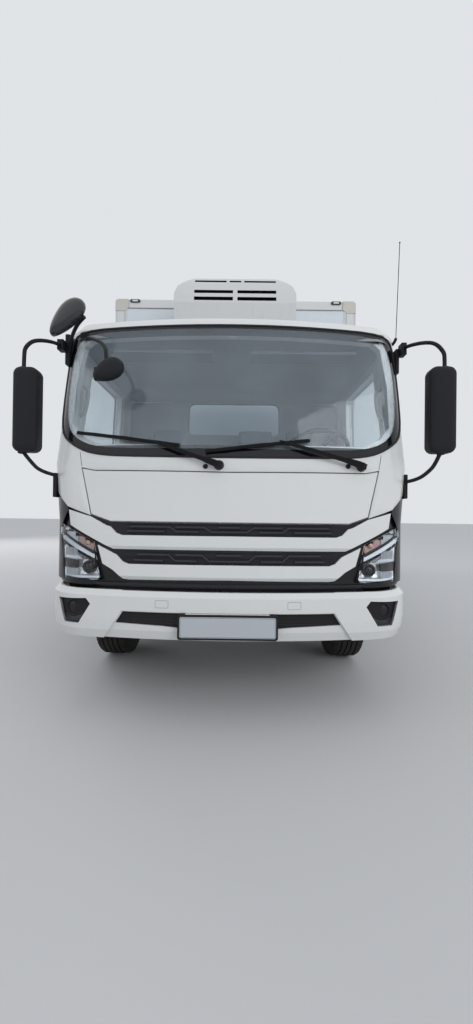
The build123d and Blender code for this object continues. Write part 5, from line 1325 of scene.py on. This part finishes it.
# Brackets and clamps where the tubes meet the cab. Columns: x, station, z, width, depth, height
CLAMPS = [(1.064, 0.425, 2.150, 0.022, 0.080, 0.160), (1.088, 0.372, 2.213, 0.034, 0.060, 0.078),
          (1.084, 0.325, 1.335, 0.024, 0.070, 0.150), (-1.052, 0.400, 2.190, 0.030, 0.080, 0.195),
          (-1.078, 0.345, 2.203, 0.042, 0.060, 0.066), (-1.082, 0.315, 1.318, 0.024, 0.070, 0.150),
          (-0.930, 0.345, 2.262, 0.050, 0.050, 0.034), (1.225, 0.122, 2.004, 0.034, 0.034, 0.020),
          (-1.216, 0.162, 1.988, 0.034, 0.034, 0.020), (1.207, 0.122, 1.514, 0.034, 0.034, 0.018),
          (-1.220, 0.162, 1.498, 0.034, 0.034, 0.018), (-0.740, 0.062, 1.944, 0.050, 0.030, 0.036),
          (-0.752, 0.070, 1.908, 0.030, 0.024, 0.036)]
clamps = bars(*([at(*(place + way * size / 2 for place, size in zip(row[:3], row[3:]))) for way in (-1, 1)]
                for row in CLAMPS))
mesh_piece("mirror_brackets", clamps, mirror_black, "cab", bevel=0.005)
# Dish from its domed back to its rim. Columns: share of its full size, share of its depth
DISH_SECTION = [(0.25, -0.30), (0.55, -0.22), (0.80, -0.06), (0.94, 0.25), (1.0, 0.60), (1.0, 0.92),
                (0.965, 1.0), (0.93, 0.97), (0.90, 0.90), (0.5, 1.08)]


def dish(centre, normal, along, long_half, short_half, depth, egg):
    """Oval dish facing along its normal; egg makes one end wider."""
    normal, along = Vector(normal).normalized(), Vector(along).normalized()
    along = (along - normal * along.dot(normal)).normalized()
    across = normal.cross(along)
    return lofted([[at(*centre) + along * (long_half * share * cos(turn))
                    + across * (short_half * share * (1 + egg * cos(turn)) * sin(turn))
                    + normal * (depth * height) for turn in turns_of(40)] for share, height in DISH_SECTION])


mesh_piece("kerb_mirror", dish((-0.979, 0.140, 2.297), (0.2, 0.97, -0.1), (0.70, 0, 0.72), 0.138, 0.066, 0.044, 0.36),
           dish_black, "cab", smooth=50)
mesh_piece("front_mirror", dish((-0.690, 0.036, 1.950), (0.1, 1, -0.12), (0.90, 0, 0.42), 0.092, 0.062, 0.036, 0.25),
           mirror_black, "cab", smooth=50)

# Antenna: a thin sprung whip on a rubber foot at the windscreen's upper left corner. The
# whip ends in a small round tip.
MAST = [at(1.064, 0.420, 2.290), at(1.105, 0.470, 2.975)]
pipe("antenna_whip", [[MAST[0], MAST[0].lerp(MAST[1], 0.5), MAST[1]]], 0.0024, gloss_black, "cab")
foot_route = [at(1.044, 0.430, 2.272), at(1.060, 0.422, 2.288), MAST[0].lerp(MAST[1], 0.03)]
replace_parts(pipe("antenna_foot", [foot_route], 0.010, black_plastic, "cab"), "antenna")
tip = bmesh.new()
bmesh.ops.create_uvsphere(tip, u_segments=12, v_segments=8, radius=0.0052, matrix=Matrix.Translation(MAST[1]))
mesh_piece("antenna_tip", tip, gloss_black, "cab", smooth=60)

# Cab inside: grey moulded trim, a rubber floor, a padded bench for three, and the driver's
# controls. It all shows through the glass.
trim_grey = finish("cab trim grey", (0.30, 0.33, 0.37), 0.62, drift=0.05, grain=900.0, depth=0.0003,
                   dust=0.08, dust_top=2.0)
lining_grey = finish("roof lining", (0.36, 0.365, 0.37), 0.85, drift=0.04, grain=1100.0, depth=0.0004,
                     dust=0.05, dust_top=2.5)
rubber_mat = finish("floor rubber", (0.05, 0.05, 0.052), 0.75, drift=0.1, grain=300.0, depth=0.0006,
                    dust=0.5, dust_top=1.4)
# Painted shade: the visors are darker than the lining to take the light off their front edges
darkened_visor_grey = finish("visor grey, painted darker", (0.17, 0.18, 0.195), 0.85, drift=0.04, grain=900.0, depth=0.0003, dust=0.03,
                    dust_top=2.5)
dress(rubber_mat, "cab_floor")
softened("dashboard", trim_grey, 0.018)
dress(black_plastic, "steering_wheel")
# Columns: height, station of the front, half width, station of the back
LINING_LEVELS = [(2.246, 0.316, 1.002, 1.716), (2.306, 0.365, 0.970, 1.702), (2.364, 0.530, 0.849, 1.632)]
lining = bmesh.new()
rows = [[lining.verts.new(at(x, s, z)) for x, s in rounded_outline(
    (0.0, (front + back) / 2), (half, (back - front) / 2 - 0.004), 0.10, 6)]
    for z, front, half, back in LINING_LEVELS]
for row, following in zip(rows, rows[1:]):
    for k in range(len(row)):
        m = (k + 1) % len(row)
        lining.faces.new((row[k], row[m], following[m], following[k]))
lining.faces.new(rows[-1])
bmesh.ops.recalc_face_normals(lining, faces=lining.faces)
if lining.faces[:][-1].normal.z > 0:
    bmesh.ops.reverse_faces(lining, faces=lining.faces)
mesh_piece("roof_lining", lining, lining_grey, "cab", thick=-0.003)
hole = rounded_outline((0.0, 2.090), (0.450, 0.160), 0.06, 6)
outer = rounded_outline((0.0, 1.640), (1.030, 0.596), 0.06, 6)
wall = lofted([[at(x, 1.712, z) for x, z in blended(outer, hole, share)] for share in (0.0, 0.5, 1.0)], caps=False)
mesh_piece("back_wall_lining", wall, lining_grey, "cab", thick=0.004)
HANDLE = [(0.985, 0.455, 1.985), (0.955, 0.460, 1.975), (0.945, 0.450, 1.93), (0.948, 0.435, 1.86),
          (0.960, 0.425, 1.79), (0.990, 0.420, 1.775)]
pipe("pillar_grab_handles", [[at(side * x, s, z) for x, s, z in HANDLE] for side, _ in SIDES], 0.012,
     lining_grey, "cab", fine=3)
visors = bars(*([at(side * 0.12, 0.400, 2.190), at(side * 0.80, 0.560, 2.208)] for side, _ in SIDES))
mesh_piece("sun_visors", visors, darkened_visor_grey, "cab", bevel=0.003)
sensor = bars([at(-0.028, 0.262, 2.235), at(0.028, 0.300, 2.262)])
mesh_piece("screen_sensor", sensor, strip_white, "cab", bevel=0.008)
card_x = half_width(1.2)
for side, hand in SIDES:
    card = bars([at(side * (card_x - 0.066), 0.50, 1.02), at(side * (card_x - 0.072), 1.42, 1.475)],
                [at(side * (card_x - 0.071), 0.80, 1.235), at(side * (card_x - 0.105), 1.25, 1.275)])
    mesh_piece(f"door_{hand}_trim_card", card, trim_grey, "door_" + hand, bevel=0.006)

# Seats: a bench for three in grey cloth over foam. Each pad is a closed form whose sides pull
# in, whose face is crowned and is crossed by sewn channels; head rests stand on two stalks.
seat_cloth = finish("seat cloth", (0.15, 0.165, 0.185), 0.9, drift=0.12, drift_scale=5.0, grain=700.0,
                    depth=0.0008, dust=0.05, dust_top=2.0)


def pad_form(middle, half, crown, channels, axis):
    """Stuffed pad. axis is the way its face looks: 2 for a seat, 1 for a back rest."""
    form = bmesh.new()
    bmesh.ops.create_cube(form, size=2.0)
    bmesh.ops.subdivide_edges(form, edges=form.edges, cuts=17, use_grid_fill=True)
    other, sign = (1, 1) if axis == 2 else (2, -1)
    for vert in form.verts:
        u, v, w = vert.co.x, vert.co[other], sign * vert.co[axis]
        pull_u, pull_v = [1 - 0.05 * abs(cross) ** 3 - 0.09 * abs(w) ** 2 for cross in (v, u)]
        bulge = crown * max(1 - abs(u) ** 4, 0) ** 0.5 * max(1 - abs(v) ** 4, 0) ** 0.5
        sewn = sum(0.011 * max(0.0, 1 - ((v - place) / 0.06) ** 2) for place in channels) * (abs(u) < 0.93)
        place = [u * half[0] * pull_u, 0, 0]
        place[other] = v * half[other] * pull_v
        place[axis] = sign * (w * (half[axis] - crown) + (bulge - sewn if w > 0.98 else 0.35 * bulge * w))
        vert.co = Vector(middle) + Vector(place)
    bmesh.ops.recalc_face_normals(form, faces=form.faces)
    return form


# Columns: name, middle of the seat, half width, height of its base, half width of its head rest
SEAT_ROWS = [("driver", 0.620, 0.240, 1.025, 0.128), ("middle", 0.205, 0.165, 1.210, 0.158),
             ("passenger", -0.620, 0.240, 1.025, 0.128)]
SEAT_LOW, SEAT_TOP, BACK_MIDDLE, BACK_LEAN = 1.225, 1.385, 1.575, 0.10
for name, x, half, base, rest_half in SEAT_ROWS:
    cushion = pad_form(at(x, 1.20, (SEAT_LOW + SEAT_TOP) / 2), (half, 0.236, (SEAT_TOP - SEAT_LOW) / 2), 0.02,
                       (-0.33, 0.33), 2)
    back = pad_form(at(x, 1.510, BACK_MIDDLE), (half - 0.004, 0.060, 0.212), 0.022, (-0.35, 0.0, 0.35), 1)
    for vert in back.verts:
        vert.co.y += (vert.co.z - BACK_MIDDLE) * BACK_LEAN
    head = pad_form(at(x, 1.538, 1.862), (rest_half, 0.033, 0.070), 0.012, (), 1)
    for part, form, fill, node in (("cushion", cushion, 0.8, "seats"), ("back", back, 0.8, None),
                                   ("head_rest", head, 0.9, None)):
        pad = mesh_piece(f"seat_{part}_{name}", form, seat_cloth, "cab", smooth=70)
        if node and name == "driver":
            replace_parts(pad, node)
    stalks = [[at(x + side * 0.05, 1.536, 1.76), at(x + side * 0.05, 1.538, 1.83)] for side, _ in SIDES]
    pipe(f"head_rest_stalks_{name}", stalks, 0.006, zinc_steel, "cab", smooth=False)
    stand = bars([at(x - half + 0.02, 0.985, base), at(x + half - 0.02, 1.430, SEAT_LOW + 0.004)])
    mesh_piece(f"seat_stand_{name}", stand, trim_grey, "cab", bevel=0.01)

# Studio: a pale floor and surround, soft lamps, and the camera in front of the bumper. The
# floor and sky are seen a little brighter than they light the truck.
FLOOR_HALF = 60.0
floor_mesh = bpy.data.meshes.new("studio_floor")
floor_mesh.from_pydata([(x * FLOOR_HALF, y * FLOOR_HALF, 0) for x, y in ((-1, -1), (1, -1), (1, 1), (-1, 1))], [],
                       [(0, 1, 2, 3)])
placed("studio_floor", floor_mesh)


def seen_rays(tree):
    """One for rays that end in the picture, also through glass or off a shine."""
    rays = add(tree, "ShaderNodeLightPath").outputs
    return calc(tree, "MAXIMUM", rays["Is Camera Ray"],
                calc(tree, "MAXIMUM", rays["Is Glossy Ray"], rays["Is Transmission Ray"]))


floor_paint, tree, shader, _ = blank_material("studio floor")
shader.inputs["Roughness"].default_value = 0.9
shader.inputs["Specular IOR Level"].default_value = 0.1
tone = add(tree, "ShaderNodeMix", {"Factor": seen_rays(tree), 6: (0.50, 0.50, 0.50, 1.0), 7: (0.60, 0.60, 0.61, 1.0)},
           data_type="RGBA")
tree.links.new(tone.outputs[2], shader.inputs["Base Color"])
floor_mesh.materials.append(floor_paint)
world = bpy.data.worlds.new("studio")
bpy.context.scene.world = world
world.use_nodes = True
tree = world.node_tree
sky = tree.nodes["Background"]
tree.links.new(ranged(tree, seen_rays(tree), 0.0, 1.0, 0.78, 0.80), sky.inputs["Strength"])
sky.inputs["Color"].default_value = (0.93, 0.965, 1.0, 1.0)
# Columns: name, place, what it points at, size, power
for name, place, target, size, power in (
        ("key lamp", (7.0, -12.0, 5.2), (0, -2.6, 1.5), 6.0, 360.0),
        ("top lamp", (-2.0, 2.5, 11.0), (0, 1.0, 1.0), 7.0, 60.0),
        ("back lamp", (-9.5, 8.0, 6.5), (0, 2.0, 1.5), 5.0, 300.0)):
    lamp = bpy.data.lights.new(name, "AREA")
    lamp.shape, lamp.size, lamp.energy = "SQUARE", size, power
    holder = placed(name, lamp)
    holder.location = place
    holder.rotation_euler = (Vector(target) - Vector(place)).to_track_quat("-Z", "Y").to_euler()
    holder.visible_glossy = False

# Camera: a wide lens at chest height, two metres in front of the truck
camera = bpy.data.cameras.new("photo camera")
camera.lens, camera.sensor_width, camera.sensor_fit, camera.clip_end = 13.535, 36.0, "AUTO", 200.0
viewer = placed("photo camera", camera)
viewer.matrix_world = (Matrix.Translation((0.043, -5.754, 1.15)) @ Matrix.Rotation(radians(0.08), 4, "Z")
                       @ Matrix.Rotation(radians(90.36), 4, "X") @ Matrix.Rotation(radians(0.72), 4, "Z"))
bpy.context.scene.camera = viewer
bpy.context.scene.view_settings.view_transform = "Standard"
